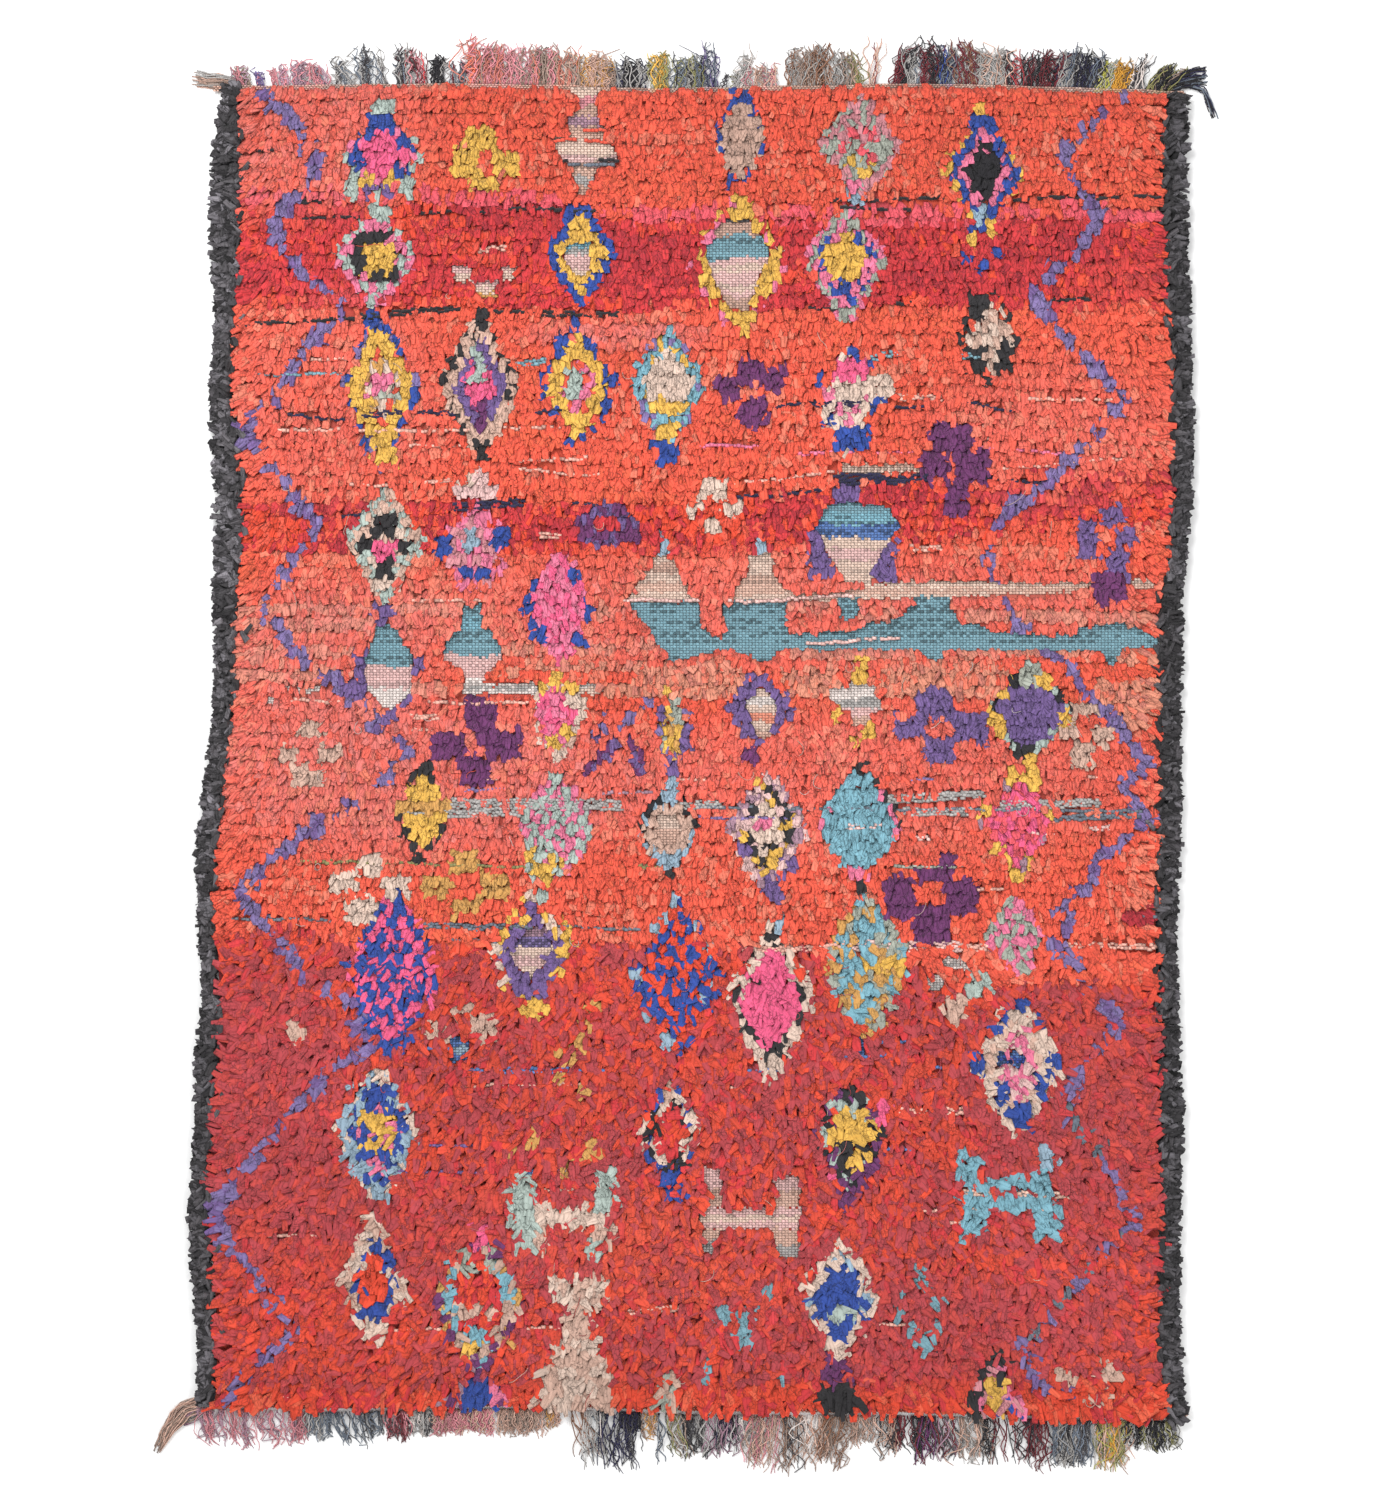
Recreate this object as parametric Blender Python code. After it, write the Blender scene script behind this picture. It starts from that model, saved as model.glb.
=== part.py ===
# A rag-pile rug laid flat: one knotted field, a charcoal rag edge down each long side and a
# yarn fringe at each end. Metres, +Z up, +Y towards the end with the shorter fringe. The
# origin is on the floor, under the middle of the rug with its fringes.

from typing import NamedTuple

import bmesh
import bpy
from mathutils import Vector, noise
import numpy as np

# Heights above the floor
PILE_HEIGHT = 0.020
LONG_PILE_EXTRA = 0.003
WOVEN_HEIGHT = 0.008
EDGE_HEIGHT = 0.018
HEADING_HEIGHT = 0.005
STRAND_TIP_HEIGHT = 0.003
RIM_SHARE = 0.55

# Lumps in the pile: how high they rise and how many there are in a metre
LARGE_LUMP = 0.0060
LARGE_LUMPS_PER_METRE = 9.0
LARGE_LUMP_LAYER = 0.5
SMALL_LUMP = 0.0040
SMALL_LUMPS_PER_METRE = 24.0
SMALL_LUMP_LAYER = 4.5
EDGE_LUMP_LAYER = 9.5
WOVEN_FADE = 0.5
LONG_PILE_STARTS = -0.26
LONG_PILE_FADE = 0.08

# The crease left by folding the rug in half along its length
CREASE_AT = -0.012
CREASE_HALF_WIDTH = 0.030
CREASE_DEPTH = 0.003

# The gap kept between neighbouring pieces, and the cells of the surface grids
GAP = 0.0003
FIELD_CELLS_ACROSS = 44
EDGE_CELLS_ACROSS = 3
CELLS_ALONG = 60
PLACING_ROUNDS = 3

# Locks that stand out from the charcoal edges, whose upright faces lie inside the lock tips
LOCK_REACH = 0.005
LOCK_ROOT_WIDTH = 0.021
LOCK_TIP_WIDTH = 0.006
LOCK_LENGTH = 0.008
LOCK_LENGTH_CHANGE = 0.006
LOCK_ROOT_AT = 0.35
LOCK_BOTTOM = 0.002
LOCK_ROOT_TOP = 0.010
LOCK_TIP_TOP = 0.005
LOCK_CHANGE_STEP = 0.37
LOCK_CHANGE_LAYER = 2.5

# The woven heading at each end and the strands of yarn that hang from it
HEADING_WIDTH = 0.009
HEADING_GAP = 0.0005
STRANDS = 88
STRAND_ROOT_WIDTH = 0.0085
STRAND_TIP_WIDTH = 0.0035
STRANDS_IN_TUFT = 4
STRAND_SECTIONS_AT = (0.35, 0.7, 1.0)
STRAND_SWAY_POWER = 1.5
TUFT_GATHER = 0.30
TUFT_SHORTENING = 0.16
END_MARGIN = 0.010

# How far the headings stop short of the two ends of the pile, left and right
SHORT_HEADING_INSETS = (0.020, 0.006)
LONG_HEADING_INSETS = (0.010, 0.008)

# Colours, linear, and how matt the cloth is
PILE_COLOUR = (0.66, 0.10, 0.065)
EDGE_COLOUR = (0.035, 0.037, 0.042)
YARN_COLOUR = (0.30, 0.24, 0.22)
RAG_ROUGHNESS = 0.95
YARN_ROUGHNESS = 0.9


class Side(NamedTuple):
    along: float
    outer: float
    inner: float


class EndPoint(NamedTuple):
    across: float
    along: float


class Woven(NamedTuple):
    across: float
    along: float
    half_width: float
    half_length: float


class Tuft(NamedTuple):
    across: float
    length: float
    lean: float


class Section(NamedTuple):
    across: float
    along: float
    heading: tuple
    width: float
    bottom: float
    top: float


# The charcoal edges, from the short-fringe end to the long-fringe end: where the outer face
# lies and where the edge meets the field
LEFT_SIDE = [
    Side(0.999, -0.696, -0.669),
    Side(0.909, -0.713, -0.667),
    Side(0.819, -0.716, -0.666),
    Side(0.729, -0.713, -0.670),
    Side(0.639, -0.707, -0.678),
    Side(0.549, -0.716, -0.679),
    Side(0.459, -0.713, -0.670),
    Side(0.384, -0.708, -0.660),
    Side(0.294, -0.711, -0.666),
    Side(0.204, -0.707, -0.672),
    Side(0.114, -0.708, -0.675),
    Side(0.024, -0.714, -0.681),
    Side(-0.051, -0.725, -0.692),
    Side(-0.126, -0.737, -0.699),
    Side(-0.216, -0.734, -0.704),
    Side(-0.306, -0.727, -0.703),
    Side(-0.381, -0.725, -0.699),
    Side(-0.456, -0.738, -0.700),
    Side(-0.531, -0.736, -0.708),
    Side(-0.606, -0.740, -0.714),
    Side(-0.681, -0.746, -0.716),
    Side(-0.756, -0.744, -0.711),
    Side(-0.831, -0.737, -0.705),
    Side(-0.906, -0.732, -0.704),
    Side(-0.971, -0.735, -0.708),
]
RIGHT_SIDE = [
    Side(0.992, 0.756, 0.719),
    Side(0.909, 0.753, 0.711),
    Side(0.819, 0.753, 0.711),
    Side(0.729, 0.755, 0.716),
    Side(0.639, 0.758, 0.723),
    Side(0.549, 0.758, 0.725),
    Side(0.474, 0.762, 0.729),
    Side(0.384, 0.758, 0.728),
    Side(0.294, 0.750, 0.723),
    Side(0.234, 0.743, 0.708),
    Side(0.174, 0.746, 0.706),
    Side(0.084, 0.743, 0.708),
    Side(-0.006, 0.744, 0.708),
    Side(-0.096, 0.743, 0.707),
    Side(-0.186, 0.740, 0.705),
    Side(-0.276, 0.735, 0.705),
    Side(-0.366, 0.738, 0.708),
    Side(-0.456, 0.741, 0.710),
    Side(-0.531, 0.747, 0.708),
    Side(-0.606, 0.744, 0.708),
    Side(-0.696, 0.741, 0.711),
    Side(-0.786, 0.741, 0.710),
    Side(-0.876, 0.743, 0.707),
    Side(-0.966, 0.749, 0.716),
    Side(-0.992, 0.753, 0.719),
]

# The two ends of the pile, from left to right
SHORT_FRINGE_END = [
    EndPoint(-0.716, 1.001),
    EndPoint(-0.504, 1.002),
    EndPoint(-0.354, 1.005),
    EndPoint(-0.204, 1.002),
    EndPoint(-0.054, 0.996),
    EndPoint(0.096, 0.999),
    EndPoint(0.246, 1.002),
    EndPoint(0.396, 1.004),
    EndPoint(0.546, 0.999),
    EndPoint(0.762, 0.992),
]
LONG_FRINGE_END = [
    EndPoint(-0.746, -0.970),
    EndPoint(-0.579, -0.980),
    EndPoint(-0.429, -0.978),
    EndPoint(-0.279, -0.975),
    EndPoint(-0.129, -0.978),
    EndPoint(0.021, -0.984),
    EndPoint(0.171, -0.985),
    EndPoint(0.321, -0.985),
    EndPoint(0.471, -0.989),
    EndPoint(0.621, -0.993),
    EndPoint(0.762, -0.993),
]

# Flat-woven places that lie lower than the knots round them
WOVEN_PLACES = [
    Woven(0.300, 0.196, 0.396, 0.034),
    Woven(0.377, 0.248, 0.310, 0.016),
    Woven(-0.046, 0.246, 0.055, 0.040),
    Woven(0.076, 0.741, 0.046, 0.060),
    Woven(-0.155, 0.915, 0.048, 0.045),
    Woven(-0.440, 0.150, 0.042, 0.045),
    Woven(-0.300, 0.150, 0.042, 0.040),
    Woven(0.258, 0.352, 0.055, 0.035),
    Woven(0.100, -0.700, 0.070, 0.022),
]

# How long the strands are along each fringe, and how far their tips lean to the right
SHORT_FRINGE = [
    Tuft(-0.690, 0.022, -0.016),
    Tuft(-0.632, 0.026, -0.012),
    Tuft(-0.579, 0.032, -0.010),
    Tuft(-0.527, 0.036, -0.010),
    Tuft(-0.497, 0.052, -0.006),
    Tuft(-0.462, 0.048, 0.004),
    Tuft(-0.429, 0.057, -0.010),
    Tuft(-0.347, 0.040, 0.002),
    Tuft(-0.306, 0.056, 0.000),
    Tuft(-0.249, 0.050, -0.004),
    Tuft(-0.189, 0.042, 0.000),
    Tuft(-0.129, 0.036, 0.004),
    Tuft(-0.102, 0.024, 0.000),
    Tuft(-0.069, 0.034, -0.004),
    Tuft(0.006, 0.040, 0.002),
    Tuft(0.041, 0.040, 0.002),
    Tuft(0.063, 0.018, 0.000),
    Tuft(0.088, 0.050, 0.004),
    Tuft(0.134, 0.016, 0.000),
    Tuft(0.171, 0.042, -0.002),
    Tuft(0.224, 0.051, 0.000),
    Tuft(0.291, 0.054, 0.004),
    Tuft(0.328, 0.063, 0.006),
    Tuft(0.358, 0.051, 0.008),
    Tuft(0.471, 0.048, 0.006),
    Tuft(0.546, 0.052, 0.008),
    Tuft(0.583, 0.060, 0.006),
    Tuft(0.621, 0.042, 0.008),
    Tuft(0.696, 0.042, 0.010),
    Tuft(0.750, 0.026, 0.014),
]
LONG_FRINGE = [
    Tuft(-0.735, 0.030, -0.006),
    Tuft(-0.654, 0.046, 0.006),
    Tuft(-0.601, 0.045, 0.010),
    Tuft(-0.564, 0.030, 0.000),
    Tuft(-0.512, 0.032, 0.004),
    Tuft(-0.466, 0.034, 0.008),
    Tuft(-0.399, 0.022, 0.006),
    Tuft(-0.279, 0.018, 0.002),
    Tuft(-0.219, 0.013, 0.000),
    Tuft(-0.160, 0.013, 0.000),
    Tuft(-0.144, 0.060, 0.010),
    Tuft(-0.106, 0.072, 0.006),
    Tuft(-0.069, 0.068, 0.002),
    Tuft(-0.043, 0.058, 0.000),
    Tuft(-0.009, 0.040, -0.004),
    Tuft(0.028, 0.034, 0.000),
    Tuft(0.081, 0.052, 0.008),
    Tuft(0.134, 0.072, 0.006),
    Tuft(0.186, 0.068, -0.004),
    Tuft(0.238, 0.042, -0.006),
    Tuft(0.276, 0.054, 0.006),
    Tuft(0.313, 0.044, 0.000),
    Tuft(0.351, 0.050, 0.004),
    Tuft(0.411, 0.062, 0.002),
    Tuft(0.531, 0.068, 0.002),
    Tuft(0.591, 0.076, 0.006),
    Tuft(0.643, 0.074, 0.006),
    Tuft(0.681, 0.046, 0.008),
    Tuft(0.750, 0.026, 0.004),
]

# The loose tassels at three corners, from the heading outwards
SHORT_LEFT_TASSEL = [
    Section(-0.708, 1.011, (-1.0, 0.15), 0.012, 0.0, 0.007),
    Section(-0.726, 1.016, (-1.0, 0.30), 0.016, 0.0, 0.007),
    Section(-0.744, 1.023, (-1.0, 0.30), 0.004, 0.0, 0.004),
]
SHORT_RIGHT_TASSEL = [
    Section(0.772, 1.012, (1.0, 0.10), 0.014, 0.0, 0.008),
    Section(0.786, 1.003, (0.6, -1.0), 0.013, 0.0, 0.008),
    Section(0.793, 0.982, (0.3, -1.0), 0.011, 0.0, 0.006),
    Section(0.800, 0.958, (0.3, -1.0), 0.005, 0.0, 0.004),
]
LONG_LEFT_TASSEL = [
    Section(-0.754, -0.985, (-1.0, -0.5), 0.014, 0.0, 0.007),
    Section(-0.773, -1.003, (-1.0, -1.2), 0.024, 0.0, 0.009),
    Section(-0.787, -1.027, (-0.6, -1.0), 0.020, 0.0, 0.007),
    Section(-0.800, -1.052, (-0.6, -1.0), 0.005, 0.0, 0.004),
]


def clear_scene():
    for obj in list(bpy.data.objects):
        bpy.data.objects.remove(obj)


def smooth_line(stations, values, at):
    # A cubic through the stations, whose slope at each one comes from its two neighbours
    slopes = np.gradient(values, stations)
    i = np.clip(np.searchsorted(stations, at) - 1, 0, len(stations) - 2)
    step = stations[i + 1] - stations[i]
    t = np.clip((at - stations[i]) / step, 0.0, 1.0)
    start_share = 2 * t**3 - 3 * t**2 + 1
    start_slope_share = t**3 - 2 * t**2 + t
    end_slope_share = t**3 - t**2
    return (
        start_share * values[i]
        + (1 - start_share) * values[i + 1]
        + start_slope_share * step * slopes[i]
        + end_slope_share * step * slopes[i + 1]
    )


def side_line(table, column, along):
    rows = sorted(table)
    stations = np.array([row.along for row in rows])
    return float(smooth_line(stations, np.array([getattr(row, column) for row in rows]), along))


def end_line(table, across):
    stations = np.array([row.across for row in table])
    return float(smooth_line(stations, np.array([row.along for row in table]), across))


def place_between(left, right, u, v):
    # The point a share u of the way from the left line to the right one and a share v of the
    # way from the long-fringe end to the short-fringe end
    along = LONG_FRINGE_END[0].along + v * (SHORT_FRINGE_END[0].along - LONG_FRINGE_END[0].along)
    for _ in range(PLACING_ROUNDS):
        across = left(along) + u * (right(along) - left(along))
        low = end_line(LONG_FRINGE_END, across)
        along = low + v * (end_line(SHORT_FRINGE_END, across) - low)
    return across, along


def fade(value, start, width):
    # 0 well before the start, 1 well past it, smooth between
    t = min(max((value - start) / width + 0.5, 0.0), 1.0)
    return t * t * (3 - 2 * t)


def lump(across, along, per_metre, layer):
    return noise.noise(Vector((across * per_metre, along * per_metre, layer)))


def woven_share(across, along):
    # 1 in the middle of a flat-woven place and 0 outside them all
    share = 0.0
    for place in WOVEN_PLACES:
        u = abs(across - place.across) / place.half_width
        v = abs(along - place.along) / place.half_length
        share = max(share, 1 - fade(max(u, v), 1.0, WOVEN_FADE))
    return share


def field_height(across, along):
    long_pile = 1 - fade(along, LONG_PILE_STARTS, LONG_PILE_FADE)
    height = PILE_HEIGHT + LONG_PILE_EXTRA * long_pile
    height += LARGE_LUMP * lump(across, along, LARGE_LUMPS_PER_METRE, LARGE_LUMP_LAYER)
    height += SMALL_LUMP * lump(across, along, SMALL_LUMPS_PER_METRE, SMALL_LUMP_LAYER)
    from_crease = abs(across - CREASE_AT)
    height -= CREASE_DEPTH * (1 - fade(from_crease, CREASE_HALF_WIDTH / 2, CREASE_HALF_WIDTH))
    return height + (WOVEN_HEIGHT - height) * woven_share(across, along)


def edge_height(across, along):
    return EDGE_HEIGHT + SMALL_LUMP * lump(
        across, along, SMALL_LUMPS_PER_METRE, EDGE_LUMP_LAYER
    )


def lumpy_slab(cells_across, place, height):
    # A grid over the outline, lumpy on top, with upright walls and one flat face below
    bm = bmesh.new()
    bmesh.ops.create_grid(bm, x_segments=cells_across, y_segments=CELLS_ALONG, size=0.5)
    for vert in bm.verts:
        across, along = place(vert.co.x + 0.5, vert.co.y + 0.5)
        share = RIM_SHARE if vert.is_boundary else 1.0
        vert.co = (across, along, share * height(across, along))
    rim = [edge for edge in bm.edges if edge.is_boundary]
    made = bmesh.ops.extrude_edge_only(bm, edges=rim)["geom"]
    for part in made:
        if isinstance(part, bmesh.types.BMVert):
            part.co.z = 0.0
    walls = [part for part in made if isinstance(part, bmesh.types.BMFace)]
    open_edges = [edge for edge in bm.edges if edge.is_boundary]
    bmesh.ops.holes_fill(bm, edges=open_edges, sides=0)
    return bm, walls


def set_section(face, section):
    # Moves a four-cornered upright face to the section, keeping which corner is which
    heading = Vector((*section.heading, 0.0)).normalized()
    sideways = Vector((heading.y, -heading.x, 0.0))
    middle = face.calc_center_median()
    low_to_high = sorted(face.verts, key=lambda vert: vert.co.z)
    for pair, level in ((low_to_high[:2], section.bottom), (low_to_high[2:], section.top)):
        by_side = sorted(pair, key=lambda vert: (vert.co - middle).dot(sideways))
        for vert, side in zip(by_side, (-0.5, 0.5)):
            shift = sideways * side * section.width
            vert.co = (section.across + shift.x, section.along + shift.y, level)


def draw_out(bm, face, sections):
    # Extrudes a face through the sections, so that what grows from it stays one solid with it
    for section in sections:
        face = bmesh.ops.extrude_discrete_faces(bm, faces=[face])["faces"][0]
        set_section(face, section)


def finish_node(name, bm, colour, roughness):
    bmesh.ops.recalc_face_normals(bm, faces=bm.faces)
    mesh = bpy.data.meshes.new(name)
    bm.to_mesh(mesh)
    bm.free()
    material = bpy.data.materials.new(name)
    material.use_nodes = True
    shader = material.node_tree.nodes["Principled BSDF"]
    shader.inputs["Base Color"].default_value = (*colour, 1.0)
    shader.inputs["Roughness"].default_value = roughness
    shader.inputs["Metallic"].default_value = 0.0
    mesh.materials.append(material)
    obj = bpy.data.objects.new(name, mesh)
    bpy.context.scene.collection.objects.link(obj)
    return obj


def make_field():
    def left(along):
        return side_line(LEFT_SIDE, "inner", along) + GAP / 2

    def right(along):
        return side_line(RIGHT_SIDE, "inner", along) - GAP / 2

    def place(u, v):
        return place_between(left, right, u, v)

    bm, _ = lumpy_slab(FIELD_CELLS_ACROSS, place, field_height)
    return finish_node("pile_field", bm, PILE_COLOUR, RAG_ROUGHNESS)


def lock_sections(across, along, outwards, number):
    # A tapering lock, a little longer or shorter than its neighbours and bent to one side
    change = lump(number * LOCK_CHANGE_STEP, 0.0, 1.0, outwards * LOCK_CHANGE_LAYER)
    length = LOCK_LENGTH + LOCK_LENGTH_CHANGE * 2 * change
    heading = (outwards, change)
    return [
        Section(
            across + outwards * length * LOCK_ROOT_AT, along, heading,
            LOCK_ROOT_WIDTH, LOCK_BOTTOM, LOCK_ROOT_TOP,
        ),
        Section(
            across + outwards * length, along + change * length, heading,
            LOCK_TIP_WIDTH, LOCK_BOTTOM, LOCK_TIP_TOP,
        ),
    ]


def make_edge(name, table, outwards):
    def outer(along):
        return side_line(table, "outer", along) - outwards * LOCK_REACH

    def inner(along):
        return side_line(table, "inner", along) + outwards * GAP / 2

    def place(u, v):
        if outwards < 0:
            return place_between(outer, inner, u, v)
        return place_between(inner, outer, u, v)

    bm, walls = lumpy_slab(EDGE_CELLS_ACROSS, place, edge_height)
    outer_walls = []
    for face in walls:
        middle = face.calc_center_median()
        faces_out = abs(face.normal.x) > abs(face.normal.y)
        if faces_out and abs(middle.x - outer(middle.y)) < abs(middle.x - inner(middle.y)):
            outer_walls.append(face)
    outer_walls.sort(key=lambda face: face.calc_center_median().y)
    for number, face in enumerate(outer_walls[1:-1]):
        middle = face.calc_center_median()
        draw_out(bm, face, lock_sections(middle.x, middle.y, outwards, number))
    return finish_node(name, bm, EDGE_COLOUR, RAG_ROUGHNESS)


def strand_sections(root, along, outwards, table, number):
    # Strands of one tuft draw together towards its middle strand, which is the longest
    stations = np.array([row.across for row in table])
    length = float(np.interp(root, stations, [row.length for row in table]))
    lean = float(np.interp(root, stations, [row.lean for row in table]))
    from_middle = number % STRANDS_IN_TUFT - (STRANDS_IN_TUFT - 1) / 2
    length *= 1 - TUFT_SHORTENING * abs(from_middle)
    pitch = (stations[-1] - stations[0]) / STRANDS
    tip = root + lean - from_middle * pitch * TUFT_GATHER
    sections = []
    for share in STRAND_SECTIONS_AT:
        width = STRAND_ROOT_WIDTH + (STRAND_TIP_WIDTH - STRAND_ROOT_WIDTH) * share
        top = HEADING_HEIGHT + (STRAND_TIP_HEIGHT - HEADING_HEIGHT) * share
        sway = (tip - root) * share**STRAND_SWAY_POWER
        sections.append(
            Section(root + sway, along + outwards * length * share, (0.0, outwards), width, 0.0, top)
        )
    return sections


def make_fringe(name, end_table, fringe_table, outwards, insets, tassels):
    # The heading is one strip across the rug's end. Each strand is drawn out of its own face
    # on the strip's outer side, and a corner tassel out of the strip's end face.
    first = end_table[0].across + insets[0]
    last = end_table[-1].across - insets[1]
    pitch = (last - first - 2 * END_MARGIN) / STRANDS
    roots = [first + END_MARGIN + (i + 0.5) * pitch for i in range(STRANDS)]
    outer_line = [first]
    for root in roots:
        outer_line += [root - STRAND_ROOT_WIDTH / 2, root + STRAND_ROOT_WIDTH / 2]
    outer_line.append(last)
    inner_line = list(np.linspace(last, first, STRANDS // 2 + 1))

    def outline_point(across, off):
        return (across, end_line(end_table, across) + outwards * off)

    points = [outline_point(x, HEADING_GAP + HEADING_WIDTH) for x in outer_line]
    points += [outline_point(x, HEADING_GAP) for x in inner_line]
    bm = bmesh.new()
    lower = [bm.verts.new((x, y, 0.0)) for x, y in points]
    upper = [bm.verts.new((x, y, HEADING_HEIGHT)) for x, y in points]
    bm.faces.new(upper)
    bm.faces.new(list(reversed(lower)))
    sides = []
    for i in range(len(points)):
        j = (i + 1) % len(points)
        sides.append(bm.faces.new((lower[i], lower[j], upper[j], upper[i])))
    for number, root in enumerate(roots):
        along = outline_point(root, HEADING_GAP + HEADING_WIDTH)[1]
        sections = strand_sections(root, along, outwards, fringe_table, number)
        draw_out(bm, sides[2 * number + 1], sections)
    end_faces = {"left": sides[-1], "right": sides[len(outer_line) - 1]}
    for end, sections in tassels.items():
        draw_out(bm, end_faces[end], sections)
    return finish_node(name, bm, YARN_COLOUR, YARN_ROUGHNESS)


def centre_on_floor(nodes):
    # Puts the middle of the whole rug's box over the origin
    corners = np.array([vert.co for obj in nodes for vert in obj.data.vertices])
    middle = (corners.min(axis=0) + corners.max(axis=0)) / 2
    for obj in nodes:
        obj.location = (-middle[0], -middle[1], 0.0)


def make_rug():
    clear_scene()
    nodes = [
        make_field(),
        make_edge("edge_left", LEFT_SIDE, -1.0),
        make_edge("edge_right", RIGHT_SIDE, 1.0),
        make_fringe(
            "fringe_short", SHORT_FRINGE_END, SHORT_FRINGE, 1.0, SHORT_HEADING_INSETS,
            {"left": SHORT_LEFT_TASSEL, "right": SHORT_RIGHT_TASSEL},
        ),
        make_fringe(
            "fringe_long", LONG_FRINGE_END, LONG_FRINGE, -1.0, LONG_HEADING_INSETS,
            {"left": LONG_LEFT_TASSEL},
        ),
    ]
    centre_on_floor(nodes)


make_rug()
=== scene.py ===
# A rag-pile rug laid flat on the floor, seen from straight above.
# Places are on the weaver's chart: columns run to the right, rows run from the short-fringe end
# to the long-fringe end, and one step of the chart is 1.5 mm.
import math
import bpy
import numpy as np
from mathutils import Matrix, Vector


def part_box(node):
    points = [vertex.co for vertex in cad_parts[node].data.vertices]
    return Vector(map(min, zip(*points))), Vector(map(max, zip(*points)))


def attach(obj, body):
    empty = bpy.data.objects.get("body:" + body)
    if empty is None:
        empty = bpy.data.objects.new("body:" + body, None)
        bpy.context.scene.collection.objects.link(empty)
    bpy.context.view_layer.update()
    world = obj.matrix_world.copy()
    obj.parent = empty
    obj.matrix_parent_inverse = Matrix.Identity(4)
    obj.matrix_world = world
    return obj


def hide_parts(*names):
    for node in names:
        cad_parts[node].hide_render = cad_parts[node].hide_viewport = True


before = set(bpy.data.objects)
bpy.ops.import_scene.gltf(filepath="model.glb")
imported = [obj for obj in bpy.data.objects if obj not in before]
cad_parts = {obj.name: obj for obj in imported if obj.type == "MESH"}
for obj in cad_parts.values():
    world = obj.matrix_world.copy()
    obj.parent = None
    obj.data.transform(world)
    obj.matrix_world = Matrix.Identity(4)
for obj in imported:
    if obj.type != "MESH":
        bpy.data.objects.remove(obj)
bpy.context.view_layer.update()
print("frame loaded")

# the chart and where its middle lies in the frame
chart = {"step": 0.0015, "middleColumn": 686.0, "middleRow": 756.0, "settlingRounds": 3}
fieldLow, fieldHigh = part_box("pile_field")
fieldMiddleOnChart = (0.0065, 0.0060)   # the middle of the field's box, before the part was centred
shiftX = (fieldLow.x + fieldHigh.x) / 2 - fieldMiddleOnChart[0]
shiftY = (fieldLow.y + fieldHigh.y) / 2 - fieldMiddleOnChart[1]

# colours as the eye sees them
palette = {
    "coral": "#EA5D48", "coralPale": "#E87A63", "orange": "#E96348", "pinkCoral": "#E85C68",
    "rose": "#DC7F7A", "crimson": "#CB3C40", "crimsonDeep": "#B0343D", "vermilion": "#E04C35",
    "dustyRed": "#B4474C", "ember": "#D44C3A", "peach": "#DA8C74", "peachBrown": "#C9796A",
    "underPileShade": "#A83A34", "charcoal": "#4C494C", "charcoalDark": "#343234", "charcoalBlue": "#59565A",
    "lilac": "#806FA0", "violet": "#745C90", "purple": "#6E3A68", "cobalt": "#364F9C", "blue": "#5878B0",
    "lightBlue": "#94ABBC", "turquoise": "#7CABBA", "teal": "#789EAA", "navy": "#2C2A48",
    "mint": "#A9B6AE", "sage": "#A3A79B", "mustard": "#E4B254", "mustardTan": "#CE9A58",
    "magenta": "#EA5F88", "pink": "#E67898", "dustyPink": "#CF8890", "palePink": "#DCB4B0",
    "cream": "#DABFAF", "beige": "#CEA998", "tan": "#C29E8E", "white": "#DED2CC", "grey": "#A9A5A2",
    "black": "#2C2A2E", "olive": "#8E8A5A", "maroon": "#6E2C34", "slate": "#6C7480", "taupe": "#9A8478",
    "amber": "#D09A3C", "yellowGreen": "#B8B456", "brown": "#8A6450", "mauve": "#A88494",
}
lightShare = 0.97   # what is left of a colour after the folds

# seeds of the soft noises, so that every run gives the same rug
noiseSeeds = {
    "zoneBorder": 11, "cluster": 12, "zigzagThick": 21, "zigzagLine": 22, "knotRow": 31, "longStart": 32,
    "pileTop": 33, "pileLight": 34, "bareLine": 35, "groundTop": 41, "flatBand": 52, "runLine": 53,
    "dashedPick": 54, "brokenRun": 55, "edgeDye": 62, "clumpLength": 72, "clumpDye": 73, "headingLine": 82,
}
noiseLattice = (61, 67)
justUnderOne = 0.999   # the highest share that still picks the last dye of a list


# Colour names as linear values: each sRGB value v is ((v + 0.055) / 1.055) ** 2.4, or v / 12.92 near black
def dye(name):
    text = palette[name].lstrip("#")
    seen = np.array([int(text[k:k + 2], 16) for k in (0, 2, 4)]) / 255.0
    return np.where(seen > 0.04045, ((seen + 0.055) / 1.055) ** 2.4, seen / 12.92)


# Picks one of several dyes for each place from values between 0 and 1
def pickDye(names, share):
    choices = np.array([dye(name) for name in names.split()])
    return choices[np.clip((share * len(choices)).astype(int), 0, len(choices) - 1)]


# Chart to metres: x grows with the column and y falls as the row grows
def toRug(column, row):
    x = (column - chart["middleColumn"]) * chart["step"] + shiftX
    y = (chart["middleRow"] - row) * chart["step"] + shiftY
    return x, y


# t squared times 3 less 2 t: level at 0 and at 1
def smoothStep(t):
    return t * t * (3 - 2 * t)


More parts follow.
